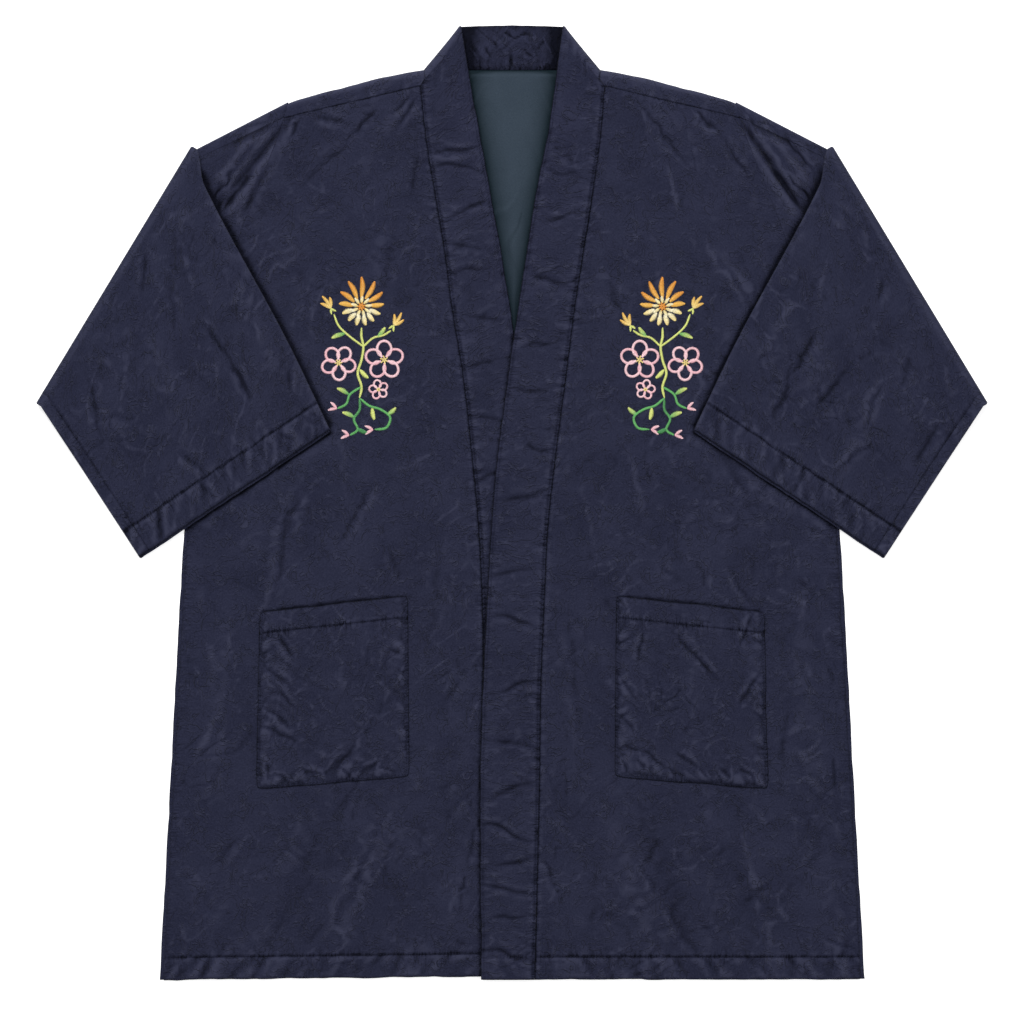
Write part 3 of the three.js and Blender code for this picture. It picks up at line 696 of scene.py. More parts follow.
def makeBack():
    wall = jacket["wall"]
    topHalf = jacket["seamOuter"][0] - 4
    neckShare = jacket["neckHalf"] / topHalf
    outer = evenSteps(back["outerWidth"], *back["steps"]["outer"])[1:]
    outer = neckShare + (1 - neckShare) * outer
    half = np.concatenate([np.linspace(0, neckShare, 14), outer])
    shares = np.concatenate([-half[:0:-1], half])
    armpitX, armpitY = jacket["armpit"]
    sign = np.sign(shares)

    def arcRadius(x):
        return (shoulderHeight(x) - level["back"]) / 2

    def turnStart(x):
        return readTable(shoulderTable, "y", x) - arcRadius(x) - wall / 2

    lifts = jacket["hemLift"]
    lift = mix(lifts["right"], lifts["left"], smoothStep(shares, -0.05, 0.05)) + 0.6
    rows = []
    for share in evenSteps(armpitY - jacket["hemY"], *back["steps"]["lower"]):
        y = mix(jacket["hemY"] + lift, armpitY, share)
        y = y + edgeWave(shares * jacket["hemHalf"], 33) * math.exp(-share * 40)
        x = shares * sideX(y) + sign * edgeWave(y, 34) * (np.abs(shares) > 0.98)
        y = y - np.where(shares < 0, hemDrop("right", -x, y), hemDrop("left", x, y))
        rows.append(np.stack([x, y, 0 * shares + level["back"]], axis=1))
    inNeck = np.abs(shares) < neckShare - 1e-6
    for share in evenSteps(back["upperLength"], *back["steps"]["upper"])[1:]:
        topY = np.where(inNeck, jacket["neckY"], turnStart(np.abs(shares) * topHalf))
        y = mix(armpitY, topY, share)
        edgeX = readTable(armholeTable, "x", y) - jacket["armholeGap"] / 2
        reach = np.where(inNeck, mix(armpitX, topHalf, share), edgeX)
        reach = np.where(share == 1, topHalf, reach)
        rows.append(np.stack([shares * reach, y, 0 * y + level["back"]], axis=1))
    flatRows = len(rows)
    fromNeck = np.minimum((1 - np.abs(shares)) / (1 - neckShare), 1)
    for share in np.linspace(0, 1, back["turnRows"])[1:]:
        angle = mix(-math.pi / 2, math.pi / 2, share)
        x = np.abs(shares) * topHalf - 4 * fromNeck + 4.2 * share * (1 - fromNeck)
        y = turnStart(x) + arcRadius(x) * math.cos(angle) + edgeWave(x, 35) * math.cos(angle)
        z = level["back"] + arcRadius(x) * (1 + math.sin(angle))
        rows.append(np.stack([sign * x, y, z], axis=1))
    lastY = rows[-1][:, 1]
    seamY = jacket["seamGap"] / 2 + shoulderSeamY(x)
    for share in np.linspace(0, 1, back["turnRows"])[1:]:
        y = mix(lastY, seamY, share)
        seam = front["seams"]["shoulder"]
        puckers = [seamPucker(seam, y - seamY, x, seeds[side] + 13) for side in sides]
        crumple = (washedCrinkle(x, y, 5) + np.where(sign > 0, *puckers)) * share
        rows.append(np.stack([sign * x, y, shoulderHeight(x) + crumple], axis=1))
    used = np.ones((len(rows) - 1, len(shares) - 1), bool)
    middle = (np.abs(shares[:-1] + shares[1:]) / 2) < neckShare
    used[flatRows - 1:, middle] = False
    grid = np.array(rows)
    shade = np.zeros(grid.shape[:2])
    shade[-1] = 0.5
    piece = wallAround("back_cloth", grid, wall, {"worn": shade}, used)
    return finishPiece(piece, navyTwill, "shell", "back_panel")


band = {
    "width": 59.0, "turnRadius": 6.0, "frontSlide": -5.0, "backSlide": 7.0, "creaseDepth": 1.3,
    "seams": {"front": (1.2, 0.4), "open": (0.9, 0.35), "hem": (0.8, 0.5), "neck": (0.8, 0.4)},
    "sewn": {"front": 2.2, "open": 3.0},  # how far the stitches lie from either edge
    # neck is painted shade on the back of the collar; open and lap are painted shadow along the
    # open edge of the band that laps over; all darkens the whole band and front its seam
    "shades": {"all": 0.07, "neck": 0.42, "front": 0.3, "open": 0.5, "lap": (0.9, 2.4)},
    "gathers": {"open": (0.5, 8.0), "front": 1.2, "hem": (1.2, 7.0)},
    "creases": [  # side, height, depth, place across, half width, slant
        ("left", -123, -1.2, 0.5, 3.5, 12), ("left", -193, -1.0, 0.4, 3.5, -14),
        ("left", -346, -1.3, 0.6, 3, 26), ("left", -377, -1.0, 0.4, 3, -12),
        ("left", -406, -1.1, 0.6, 3, 10), ("left", -435, -1.0, 0.5, 3.5, -8),
        ("left", -474, -1.1, 0.5, 3.5, 14), ("left", 8, -1.0, 0.5, 4, -16),
        ("left", 60, -0.8, 0.3, 4, 18), ("left", 118, -0.9, 0.6, 3.5, 12),
        ("left", 166, -0.8, 0.5, 4, -14), ("left", 236, -0.9, 0.5, 3.5, 16),
        ("left", 300, -0.8, 0.4, 3.5, -12), ("left", 345, -0.8, 0.6, 4, 14),
        ("left", -70, -0.8, 0.6, 4, -10), ("left", -250, -0.9, 0.5, 4, 12),
        ("left", -300, -0.8, 0.4, 4, -14), ("right", 372, -1.2, 0.5, 3, 8),
        ("right", 352, -1.0, 0.5, 3, -8), ("right", 364, 0.8, 0.2, 2.5, 6),
        ("right", 306, -0.9, 0.6, 3.5, 22), ("right", 268, -0.8, 0.4, 3.5, -12),
        ("right", 246, -0.9, 0.4, 3.5, 10), ("right", 196, -0.8, 0.5, 3.5, -10),
        ("right", 150, -0.8, 0.3, 3.5, 12), ("right", 90, -0.8, 0.3, 3.5, -10),
        ("right", 30, -0.8, 0.3, 3.5, 10),
    ],
    "backCreases": [
        (-8, 497, 4, 488, 3, -1.2), (4, 488, 18, 492, 3, -1), (-30, 480, -22, 470, 3, -0.8),
        (26, 476, 34, 488, 3, -0.8), (-20, 490, -12, 478, 3, 0.7), (10, 474, 22, 470, 3, -0.7),
    ],
}


def bandPoint(side, across, y):
    # across runs from 0 at the seam with the front to 1 at the open edge
    seed = seeds[side] + 60
    across, y = np.broadcast_arrays(across, y)
    x = mix(bandSeam(side, y), readTable(bandTable, side + "Edge", y), across)
    x = x - across * edgeWave(y, seed + 20) * 0.8
    fromSeam = across * band["width"]
    fromEdge = (1 - across) * band["width"]
    hem = aboveHem(side, y)
    detail = 0.9 * np.maximum(np.sin(math.pi * across), 0) ** 0.5
    for name, distance, along, shift in (
        ("front", fromSeam - band["sewn"]["front"], y, 0),
        ("open", fromEdge - band["sewn"]["open"], y, 3), ("hem", hem - jacket["hemDepth"], x, 9),
    ):
        detail = detail + seamPucker(band["seams"][name], distance, along, seed + shift)
    detail = detail - 0.5 * bell(fromEdge, 1.3, 1) - 0.5 * bell(fromSeam, 1.2, 1)
    detail = detail + 0.9 * washedCrinkle(x, y * 1.7, seed + 6)
    for where, height, depth, deepest, half, slant in band["creases"]:
        if where == side:
            line = height + slant * (across - 0.5)
            line = line + 3 * softNoise(across * 3, height + 0 * across, 8)
            trough = bell(across - deepest, 0.38) * bell(y - line, half, 1.6)
            detail = detail + band["creaseDepth"] * depth * trough
    detail = detail + 0.7 * hemRipple(hem, jacket["hemDepth"], x, seed + 12)
    if side == "right":  # pressed flat where the other band laps over it
        covered = smoothStep(-x - readTable(bandTable, "leftEdge", y), -2, 4)
        detail = mix(detail, np.clip(detail, -0.5, 0.2), covered)
    return np.stack([x, y, readTable(bandTable, side + "Height", y) + detail], axis=-1)


def bandHalf(side):
    seed = seeds[side] + 72
    top = bandTable["rows"][-1, 0]
    bottom = jacket["hemY"] + jacket["hemLift"][side]
    across = np.concatenate([[0, 0.02], np.linspace(0.042, 0.96, 23), [0.98, 1]])
    up = mix(bottom, top, evenSteps(top - bottom, 0, 0, 1, 2.1))
    frontRows = bandPoint(side, across[None], up[:, None])
    start = np.array([jacket["neckHalf"], jacket["neckY"] + jacket["seamGap"]])
    line = np.array([jacket["collarTopHalf"], jacket["collarTopY"] + jacket["seamGap"]]) - start
    length = np.linalg.norm(line)
    line = line / length
    outward = np.array([line[1], -line[0]])
    radius = band["turnRadius"]

    def turnRow(share):
        angle = mix(math.pi / 2, -math.pi / 2, share)
        along = mix(mix(band["frontSlide"], band["backSlide"], share), length, across)
        along = along + 3 * smoothStep(share, 0.5, 1) * across ** 2 * (1 - across)
        along = along - (1.9 + 1.7 * math.cos(angle)) * across ** 6  # rounds the top corner
        crumple = washedCrinkle(along * 1.3, 40 + 9 * angle + 0 * along, seed)
        pinch = 1 - 0.9 * across ** 2.5
        out = (radius * math.cos(angle) - radius - 1) * pinch
        bulge = 0.9 * crumple * max(math.sin(angle), 0)
        plan = start[None] + line[None] * along[:, None] + outward[None] * out[:, None]
        height = 1 + radius + radius * math.sin(angle) + bulge
        return np.concatenate([plan, height[:, None]], axis=1)

    turn = np.array([turnRow(share) for share in np.linspace(0, 1, 15)])
    shares = np.linspace(0, 1, 14)[1:-1, None, None]
    bridge = mix(frontRows[-1][None], turn[0][None], shares)
    dressed = np.sin(math.pi * shares[..., 0]) ** 0.5
    crumple = washedCrinkle(bridge[..., 0], bridge[..., 1] * 1.7, seed - 6)
    bridge[..., 2] += dressed * 0.9 * crumple
    centreY = mix(jacket["neckY"] + jacket["seamGap"], jacket["collarTopY"] + 0.1, across)
    centre = np.stack([0 * across, centreY, 0 * across + 1], axis=1)
    shares = np.linspace(0, 1, 40)[1:, None, None]
    back = mix(turn[-1][None], centre[None], shares)
    arch = np.maximum(np.sin(math.pi * across), 0)[None]
    settled = smoothStep(shares[..., 0], 0, 0.2)
    signed = back[..., 0] * (1 if side == "left" else -1)
    crumple = 1.3 * washedCrinkle(signed * 1.3, back[..., 1] * 1.3, 71)
    above = back[..., 1] - jacket["neckY"]
    crumple = crumple + seamPucker(band["seams"]["neck"], above - 3, signed, 77)
    crumple = crumple - 1.2 * bell(signed + 1, 2.2) * bell(across[None] - 0.15, 0.2)
    crumple = crumple + creaseRise(band["backCreases"], signed, back[..., 1])
    back[..., 2] += settled * (2.2 * arch ** 0.7 + (0.4 + 0.6 * arch) * crumple)
    back[..., 1] += settled * across[None] * edgeWave(back[..., 0], 79) * 0.5
    return np.concatenate([frontRows, bridge, turn, back])


def makeBand():
    shades, gathers = band["shades"], band["gathers"]
    left = bandHalf("left")[:, ::-1]
    right = bandHalf("right")[:, ::-1].copy()
    right[..., 0] *= -1
    grid = np.concatenate([left, right[::-1][1:]])
    grid[..., 2] = np.maximum(grid[..., 2], 1.0)
    x, y = grid[..., 0], grid[..., 1]
    atNeck = (y > jacket["neckY"]) & (grid[..., 2] < band["turnRadius"])
    # painted shade in the inner corners of the back collar, under its fold
    corner = 1.7 * bell(np.maximum(52 - np.abs(x), 0), 12)
    shade = np.where(atNeck, shades["neck"] + corner, shades["all"])
    shade[:, -1] += shades["front"]
    shade[:, 0] += shades["open"]
    # painted shadow on the under band beside the open edge of the band that laps over it
    lapped = (x - readTable(bandTable, "leftEdge", y))[len(left):]
    shade[len(left):] += fading(shades["lap"], lapped + 0.6)
    across = np.linalg.norm(np.diff(grid[0], axis=0), axis=1)
    across = np.concatenate([[0], np.cumsum(across)])
    across = across / across[-1] * band["width"]
    uneven = 0.8 + 0.6 * softNoise(x / 20, y / 20, 93)
    hem = y - jacket["hemY"] - jacket["hemDepth"]
    pulled = fading(gathers["open"], across - 3, 1)
    pulled = pulled + (gathers["front"] + 0.4 * atNeck) * bell(band["width"] - across - 2, 7, 1)
    down = fading(gathers["hem"], hem, 1)
    marks = {"worn": shade, "pullDown": uneven * down, "pullAcross": uneven * pulled}
    piece = wallAround("collar_band_cloth", grid, jacket["bandWall"], marks, roundOut=0.5)
    return finishPiece(piece, bandTwill, "shell", "collar_band")


sleeve = {
    "foldTop": (336.5, 374.0), "foldEnd": (499.0, 105.0), "cuffInner": (191.5, 77.0),
    "cuffOuter": (391.0, -56.0), "stagger": 2.5, "underarm": 12.0, "axis": 6.4,
    "foldGap": 3.0, "tubeGap": 2.6, "hemDepth": 31.0, "bow": 9.0,
    "foldDepth": 0.82, "creaseDepth": 0.7, "cuffWidth": 238.0, "run": 330.0, "turnRows": 17,
    "seams": {"cuff": (1.0, 0.7), "underarm": (0.8, 0.3), "armhole": (0.7, 0.3)},
    "shades": {
        "cuff": 0.75, "cuffEdge": (0.3, 2.0), "underarm": (0.15, 1.2), "armhole": (0.25, 1.1),
    },
    "gathers": {"cuff": (1.2, 8.0), "underarm": (0.6, 8.0)},
    "steps": {
        "across": (0, 22, 1.5, 2.6), "backRun": (0, 36, 1.6, 2.5), "frontRun": (0, 30, 3, 6),
    },
    "folds": {
        "left": [
            (349, 355, 344, 275, 16, 2.2), (388, 290, 396, 205, 16, -1.5),
            (320, 185, 268, 79, 12, -1.6), (300, 230, 262, 140, 14, 1.6),
            (362, 160, 318, 90, 12, -1.6), (422, 195, 456, 115, 14, -1.4),
            (444, 95, 423, 30, 12, -1.5), (385, 130, 352, 30, 14, 1.4),
        ],
        "right": [
            (352, 355, 343, 280, 16, 2.2), (384, 295, 384, 205, 16, -1.3),
            (421, 205, 438, 115, 15, -1.4), (444, 140, 421, 15, 16, -1.6),
            (315, 190, 268, 95, 12, -1.4), (290, 235, 239, 120, 14, 1.6),
            (381, 190, 339, 50, 18, 1.6),
        ],
    },
    "creases": {
        "left": [
            (321, 182, 293, 132, 5, -1.3), (293, 132, 272, 84, 5, -1.3),
            (352, 143, 318, 97, 5, -1.2), (388, 237, 384, 210, 5, -1.1),
            (388, 126, 370, 82, 5, -1.2), (378, 66, 336, 31, 5, -1.1), (447, 84, 423, 40, 5, -1.3),
            (420, 160, 405, 110, 6, -1), (310, 42, 297, 14, 4, -1.3), (372, 300, 368, 240, 8, 0.9),
            (330, 250, 318, 200, 7, 0.9), (452, 150, 462, 110, 6, 0.9),
        ],
        "right": [
            (384, 266, 388, 216, 5, -1.1), (328, 195, 293, 147, 5, -1.1),
            (293, 147, 272, 108, 5, -1.2), (297, 143, 272, 108, 4, -1.1),
            (234, 143, 230, 108, 4, -1), (444, 132, 430, 63, 6, -1.1), (349, 56, 321, 32, 5, -1.2),
            (244, 74, 226, 68, 4, -1.3), (328, 24, 314, 3, 4, -1.1), (350, 300, 330, 200, 9, 1),
            (400, 180, 410, 100, 8, 0.9), (360, 240, 352, 170, 7, -0.9),
        ],
    },
}
foldTop = np.array(sleeve["foldTop"])
foldEnd = np.array(sleeve["foldEnd"])
foldLine = (foldEnd - foldTop) / np.linalg.norm(foldEnd - foldTop)
pastFold = np.array([-foldLine[1], foldLine[0]])
edgeStart = foldTop - pastFold * sleeve["axis"]
edgeRun = np.array(sleeve["cuffInner"]) - edgeStart
edgeLength = np.linalg.norm(edgeRun)
edgeRun = edgeRun / edgeLength


def edgeBow(share):
    # how far the inner edge of a folded sleeve bows back from a straight line
    return sleeve["bow"] * smoothStep(share, 0, 0.12) * (1 - smoothStep(share, 0.1, 0.78))


def armholeAt(across, layer):
    y = mix(armholeTable["rows"][-1, 0], jacket["armpit"][1], across)
    return readTable(armholeTable, "x", y) + 0.05, y


def axisAt(across, layer):
    x = mix(foldTop[0], foldEnd[0], across) - pastFold[0] * sleeve["axis"]
    y = mix(foldTop[1], foldEnd[1], across) - pastFold[1] * sleeve["axis"]
    return x, y


def cuffAt(across, layer):
    x = mix(sleeve["cuffInner"][0], sleeve["cuffOuter"][0], across)
    y = mix(sleeve["cuffInner"][1], sleeve["cuffOuter"][1], across)
    foldX, foldY = axisAt(across, layer)
    wave = edgeWave(across * 240, 51) * 0.8
    reach = 1 + (sleeve["stagger"] * layer + wave) / np.hypot(x - foldX, y - foldY)
    return mix(foldX, x, reach), mix(foldY, y, reach)


def armLayers(side, x, y, along):
    return level["back"] + 0 * x, frontHeight(side, x, y)


def foldedLayers(side, x, y, along):
    below = frontHeight(side, x, y)
    turned = 2 * (sleeve["axis"] - below) - sleeve["foldGap"]
    settled = 1 - np.exp(-along / 25)
    folds = settled * sleeve["foldDepth"] * foldRise(sleeve["folds"][side], x, y)
    beyond = np.minimum(x - sideX(y), (jacket["armpit"][1] + foldEnd[1]) / 2 - y)
    sag = settled * 4 * smoothStep(beyond, 0, 70)
    lower = below + sleeve["foldGap"] + turned * np.exp(-along / 60) - sag
    gap = mix(below - level["back"], sleeve["tubeGap"], settled)
    return lower + gap + folds, lower + 0.5 * folds


def partRows(side, part, spots, shares):
    start, end, layers = part
    share = shares[:, None]
    edge, angle, inset, across, layer = spots

    def plan(place):
        fromX, fromY = start(place, layer)
        toX, toY = end(place, layer)
        run = share * np.hypot(toX - fromX, toY - fromY)
        bow = edgeBow(share) * (1 - place) ** 3 * (layers is foldedLayers)
        x = mix(fromX, toX, share) - edgeRun[1] * bow
        return x, mix(fromY, toY, share) + edgeRun[0] * bow, run

    edgeBack, edgeFront = layers(side, *plan(edge))
    topX, topY, _ = plan(0 * edge)
    underX, underY, _ = plan(0 * edge + 1)
    width = np.hypot(underX - topX, underY - topY)
    radius = np.abs(edgeFront - edgeBack) / 2
    inward = np.where(np.isnan(angle), inset, radius * (1 - np.cos(angle)))
    place = np.where(np.isnan(across), np.abs(edge - inward / width), across)
    x, y, run = plan(place)
    backZ, frontZ = layers(side, x, y, run)
    onEdge = ~np.isnan(angle)
    backZ = np.where(onEdge, edgeBack, backZ)
    frontZ = np.where(onEdge, edgeFront, frontZ)
    return np.stack([x, y, mix(backZ, frontZ, layer)], axis=2), place, width, run


def sleeveDetail(side, x, y, fromCuff, fromUnderarm, along):
    # the upper layer over the front: creases, crinkles, cuff hem and underarm seam
    seed = seeds[side] + 100
    across = x * 0.83 - y * 0.55
    detail = sleeve["creaseDepth"] * creaseRise(sleeve["creases"][side], x, y)
    detail = detail + washedCrinkle(x * 1.1, y, seed)
    for name, distance, line, shift in (
        ("cuff", fromCuff - sleeve["hemDepth"], across, 20),
        ("underarm", fromUnderarm - sleeve["underarm"], along, 23),
    ):
        detail = detail + seamPucker(sleeve["seams"][name], distance, line, seed + shift)
    return detail + hemRipple(fromCuff, sleeve["hemDepth"], across, seed + 26)


def sleeveTopPoint(side, place, fromCuff):
    # a point on the outside of the folded sleeve
    fromX, fromY = axisAt(place, 0)
    toX, toY = cuffAt(place, 0)
    total = np.hypot(toX - fromX, toY - fromY)
    x = mix(fromX, toX, 1 - fromCuff / total)
    y = mix(fromY, toY, 1 - fromCuff / total)
    height = foldedLayers(side, x, y, total - fromCuff)[0]
    fromUnderarm = (1 - place) * sleeve["cuffWidth"]
    detail = sleeveDetail(side, x, y, fromCuff, fromUnderarm, total - fromCuff)
    return np.stack([x, y, height + np.maximum(detail, -1.1) + jacket["wall"] / 2], axis=-1)


def sleevePanel(side, part, spots, armShares, foldShares):
    # one panel of a sleeve: flat to the fold, round it, and back over the front to the cuff
    seed = seeds[side] + 100
    shades, gathers = sleeve["shades"], sleeve["gathers"]
    columns = ("edge", "angle", "inset", "share", "layer")
    table = np.array([[spot.get(column, np.nan) for column in columns] for spot in spots]).T
    table[0] = np.nan_to_num(table[0])
    layer = table[4]
    arm, place, width, run = partRows(side, (armholeAt, axisAt, armLayers), table, armShares)
    onFront = smoothStep(layer, 0.5, 1) * (1 - smoothStep(armShares, 0.8, 1))[:, None]
    detail = frontDetail(side, arm[..., 0], arm[..., 1])
    fromSeam = place * width - jacket["allowance"]
    seam = seamPucker(sleeve["seams"]["armhole"], fromSeam, arm[..., 0], seed + 30)
    arm[..., 2] += onFront * (np.clip(detail, -1.6, 3) + seam)
    # the dark armhole seam and the painted shadow beside the folded sleeve
    dark = fading(shades["armhole"], fromSeam) + sleeveShadow(arm[..., 0], arm[..., 1])
    shade = [dark * onFront]
    turn = []
    for angle in np.linspace(-math.pi / 2, math.pi / 2, sleeve["turnRows"])[1:]:
        row = arm[-1].copy()
        radius = sleeve["axis"] - row[:, 2]
        out = radius * math.cos(angle) ** 0.6
        row[:, 0] += pastFold[0] * out
        row[:, 1] += pastFold[1] * out
        rise = np.sign(math.sin(angle)) * abs(math.sin(angle)) ** 0.8
        row[:, 2] = sleeve["axis"] + radius * rise
        turn.append(row)
        # painted shade on the side of the rounded fold
        shade.append(np.full((1, len(spots)), 0.4 * math.cos(angle)))
    folded, place, width, run = partRows(side, (axisAt, cuffAt, foldedLayers), table, foldShares)
    total = run[-1][None] / foldShares[-1]
    fromCuff = total - run
    fromUnderarm = (1 - place) * width
    onTop = (1 - layer) * smoothStep(run, 0, 18)
    detail = sleeveDetail(side, folded[..., 0], folded[..., 1], fromCuff, fromUnderarm, run)
    folded[..., 2] += onTop * np.maximum(detail, -1.1)
    across = folded[..., 0] * 0.83 - folded[..., 1] * 0.55
    dash = 0.65 + 0.35 * softNoise(across / 2.2, 0 * across, 4)
    beyondHem, beyondSeam = fromCuff - sleeve["hemDepth"], fromUnderarm - sleeve["underarm"]
    dark = shades["cuff"] * dash * bell(beyondHem, 1.2) + fading(shades["cuffEdge"], fromCuff)
    shade.append(onTop * (dark + fading(shades["underarm"], beyondSeam)))
    uneven = onTop * (0.8 + 0.6 * softNoise(folded[..., 0] / 24, folded[..., 1] / 24, seed + 31))
    down = fading(gathers["cuff"], beyondHem, 1)
    down = down + 0.3 * smoothStep(fromCuff, sleeve["hemDepth"], 18)
    before = np.zeros((len(arm) + len(turn), len(spots)))
    down, across = [
        np.concatenate([before, uneven * amount])
        for amount in (down, fading(gathers["underarm"], beyondSeam, 1))
    ]
    grid = np.concatenate([arm, np.array(turn), folded])
    grid[..., 2] = np.maximum(grid[..., 2], level["back"])
    marks = sideMarks(side, worn=np.concatenate(shade), pullDown=down, pullAcross=across)
    name = "sleeve_" + side + "_" + part
    piece = wallAround(name + "_cloth", onSide(side, grid), jacket["wall"], marks, roundOut=0.25)
    return finishPiece(piece, navyTwill, "shell", name)


def roundSpots(edge, start, stop, count):
    angles = np.linspace(start, stop, count) * math.pi / 2
    return [{"edge": edge, "angle": a, "layer": (1 + math.sin(a)) / 2} for a in angles]


def makeSleeve(side):
    allowance, underarm, width = jacket["allowance"], sleeve["underarm"], sleeve["cuffWidth"]
    steps = sleeve["steps"]
    spots = [{"edge": 0, "inset": inset, "layer": 1} for inset in np.linspace(allowance, 4, 9)]
    spots += roundSpots(0, 1, -1, 9)
    for share in evenSteps(width, *steps["across"])[1:]:
        if share * width > 4 and (1 - share) * width > underarm + 1:
            spots.append({"share": share, "layer": 0})
    spots.append({"edge": 1, "inset": underarm, "layer": 0})
    run = evenSteps(sleeve["run"], *steps["backRun"])[1:]
    backPart = sleevePanel(side, "back", spots, np.linspace(0, 1, 40), run)
    insets = np.linspace(underarm - 0.15, 3, 8)
    spots = [{"edge": 1, "inset": inset, "layer": 0} for inset in insets]
    spots += roundSpots(1, -1, 1, 9)
    for share in 0.075 + 0.925 * np.linspace(1, 0, 66)[1:-1] ** 1.2:
        if (1 - share) * width > 4:
            spots.append({"share": share, "layer": 1})
    spots.append({"edge": 0, "inset": allowance + 0.15, "layer": 1})
    run = evenSteps(sleeve["run"], *steps["frontRun"])[1:]
    frontPart = sleevePanel(side, "front", spots, np.linspace(0, 1, 66), run)
    return backPart, frontPart


pocket = {
    "innerTop": (109.5, -97.5), "outerTop": (264.5, -114.5), "outerBottom": (268.3, -300.0),
    "innerBottom": (108.0, -287.0), "width": 156.0, "height": 188.0,
    "wall": 0.9, "gap": -0.1, "gape": 3.0,
    "belly": 1.6, "puff": 1.2, "hemDepth": 22.0, "corner": 1.4, "creaseDepth": 0.85, "scallop": 2.5,
    "sewn": 2.2,  # how far the stitches lie from the edge
    "seams": {"side": (1.2, 0.3), "bottom": (1.3, 0.3), "mouth": (0.8, 0.5)},
    "shades": {"hem": (0.7, 1.3), "side": (0.6, 0.9), "bottom": (0.6, 0.9), "mouth": (0.8, 1.1)},
    "gathers": {"bottom": (0.9, 6.0), "hem": (2.0, 6.0), "side": (1.1, 5.0)},
    "steps": {"across": (8, 8, 1.2, 1.8), "up": (8, 26, 1.4, 1.8)},
    "creases": {
        "left": [
            (168, -131, 218, -188, 5, -1.6), (137, -133, 131, -172, 4, -1.2),
            (114, -180, 131, -208, 4, -1.3), (112, -219, 131, -242, 4, -1.2),
            (116, -256, 137, -259, 4, -1.2), (137, -259, 166, -284, 4.5, -1.6),
            (173, -259, 197, -281, 4.5, -1.4), (215, -277, 232, -288, 4, -1.4),
            (116, -268, 122, -284, 3, -1.3), (132, -268, 140, -282, 3, -1.4),
            (166, -280, 178, -288, 4, -1.6), (196, -276, 208, -290, 3.5, -1.5),
            (240, -276, 252, -290, 3, -1.3), (253, -118, 236, -152, 4, -1.3),
            (260, -178, 236, -215, 4, -1.2), (185, -150, 190, -240, 14, 0.8),
        ],
        "right": [
            (244, -137, 226, -168, 5, -1.4), (258, -172, 230, -193, 4.5, -1.2),
            (251, -189, 226, -218, 4.5, -1.2), (258, -214, 230, -235, 4.5, -1.2),
            (262, -235, 223, -249, 4.5, -1.3), (132, -151, 115, -158, 4, -1.4),
            (111, -189, 163, -249, 10, -0.8), (163, -249, 195, -288, 7, -1.7),
            (220, -277, 195, -288, 4, -1.5), (258, -272, 254, -292, 3, -1.5),
            (249, -284, 233, -296, 3, -1.6), (219, -277, 204, -293, 3.5, -1.6),
            (198, -281, 185, -292, 4.5, -1.8), (180, -276, 168, -288, 3, -1.5),
            (158, -284, 138, -271, 3.5, -1.5), (139, -277, 116, -283, 2.5, -1.1),
            (190, -150, 160, -220, 14, 0.8),
        ],
    },
}


def pocketPoint(side, across, up):
    seed = seeds[side] + 160
    across, up = np.broadcast_arrays(across, up)
    width, height = pocket["width"], pocket["height"]
    inner, outer = [
        [mix(pocket[edge + "Bottom"][k], pocket[edge + "Top"][k], up) for k in (0, 1)]
        for edge in ("inner", "outer")
    ]
    corner = pocket["corner"] * (2 * across - 1) ** 24 * (2 * up - 1) ** 26
    x = mix(inner[0], outer[0], across) - corner * np.sign(across - 0.5)
    x = x - edgeWave(up * height, seed + 14) * bell(across - 1, 0.05)
    y = mix(inner[1], outer[1], across) - corner * np.sign(up - 0.5)
    y = y + edgeWave(across * width, seed + 15) * (2 * up - 1) ** 12 * 0.8
    arch = np.sin(math.pi * across)
    gape = pocket["gape"] * arch ** 2 * up ** 4
    belly = pocket["belly"] * arch * np.sin(math.pi * up)
    fromSide = np.minimum(across, 1 - across) * width
    fromTop, fromBottom = (1 - up) * height, up * height
    fromSewing = np.minimum(fromSide, fromBottom)
    detail = pocket["creaseDepth"] * creaseRise(pocket["creases"][side], x, y)
    detail = detail + washedCrinkle(x * 1.3, y * 1.3, seed)
    for name, distance, along, shift in (
        ("side", fromSide - 2, y, 5), ("bottom", fromBottom - 2, x, 8),
        ("mouth", fromTop - pocket["hemDepth"], x, 11),
    ):
        detail = detail + seamPucker(pocket["seams"][name], distance, along, seed + shift)
    # scallops between the stitches, deeper along the bottom than up the sides
    for share, distance, along, size, shift in (
        (1, fromBottom, x + 0.4 * fromBottom, 12, 20),
        (0.7 * (1 - up ** 8), fromSide, y - 0.5 * fromSide, 11, 21),
    ):
        scallop = np.abs(softNoise(along / size, 0.5 + distance / 45, seed + shift)) - 0.3
        detail = detail + share * pocket["scallop"] * scallop * bell(distance - 6, 9)
    detail = detail * mix(0.35, 1, smoothStep(fromSewing, 0, 5)) - 0.4 * bell(fromTop, 1.3, 1)
    puffed = smoothStep(fromSewing, 0.5, 9) * smoothStep(fromTop + 30 * arch, 0, 8)
    rest = np.maximum(frontHeight(side, x, y), frontMiddle(side, x, y)) + jacket["wall"]
    z = rest + pocket["gap"] + gape + belly + pocket["puff"] * puffed + detail
    return np.stack([x, y, np.maximum(z, rest + 0.1)], axis=-1)


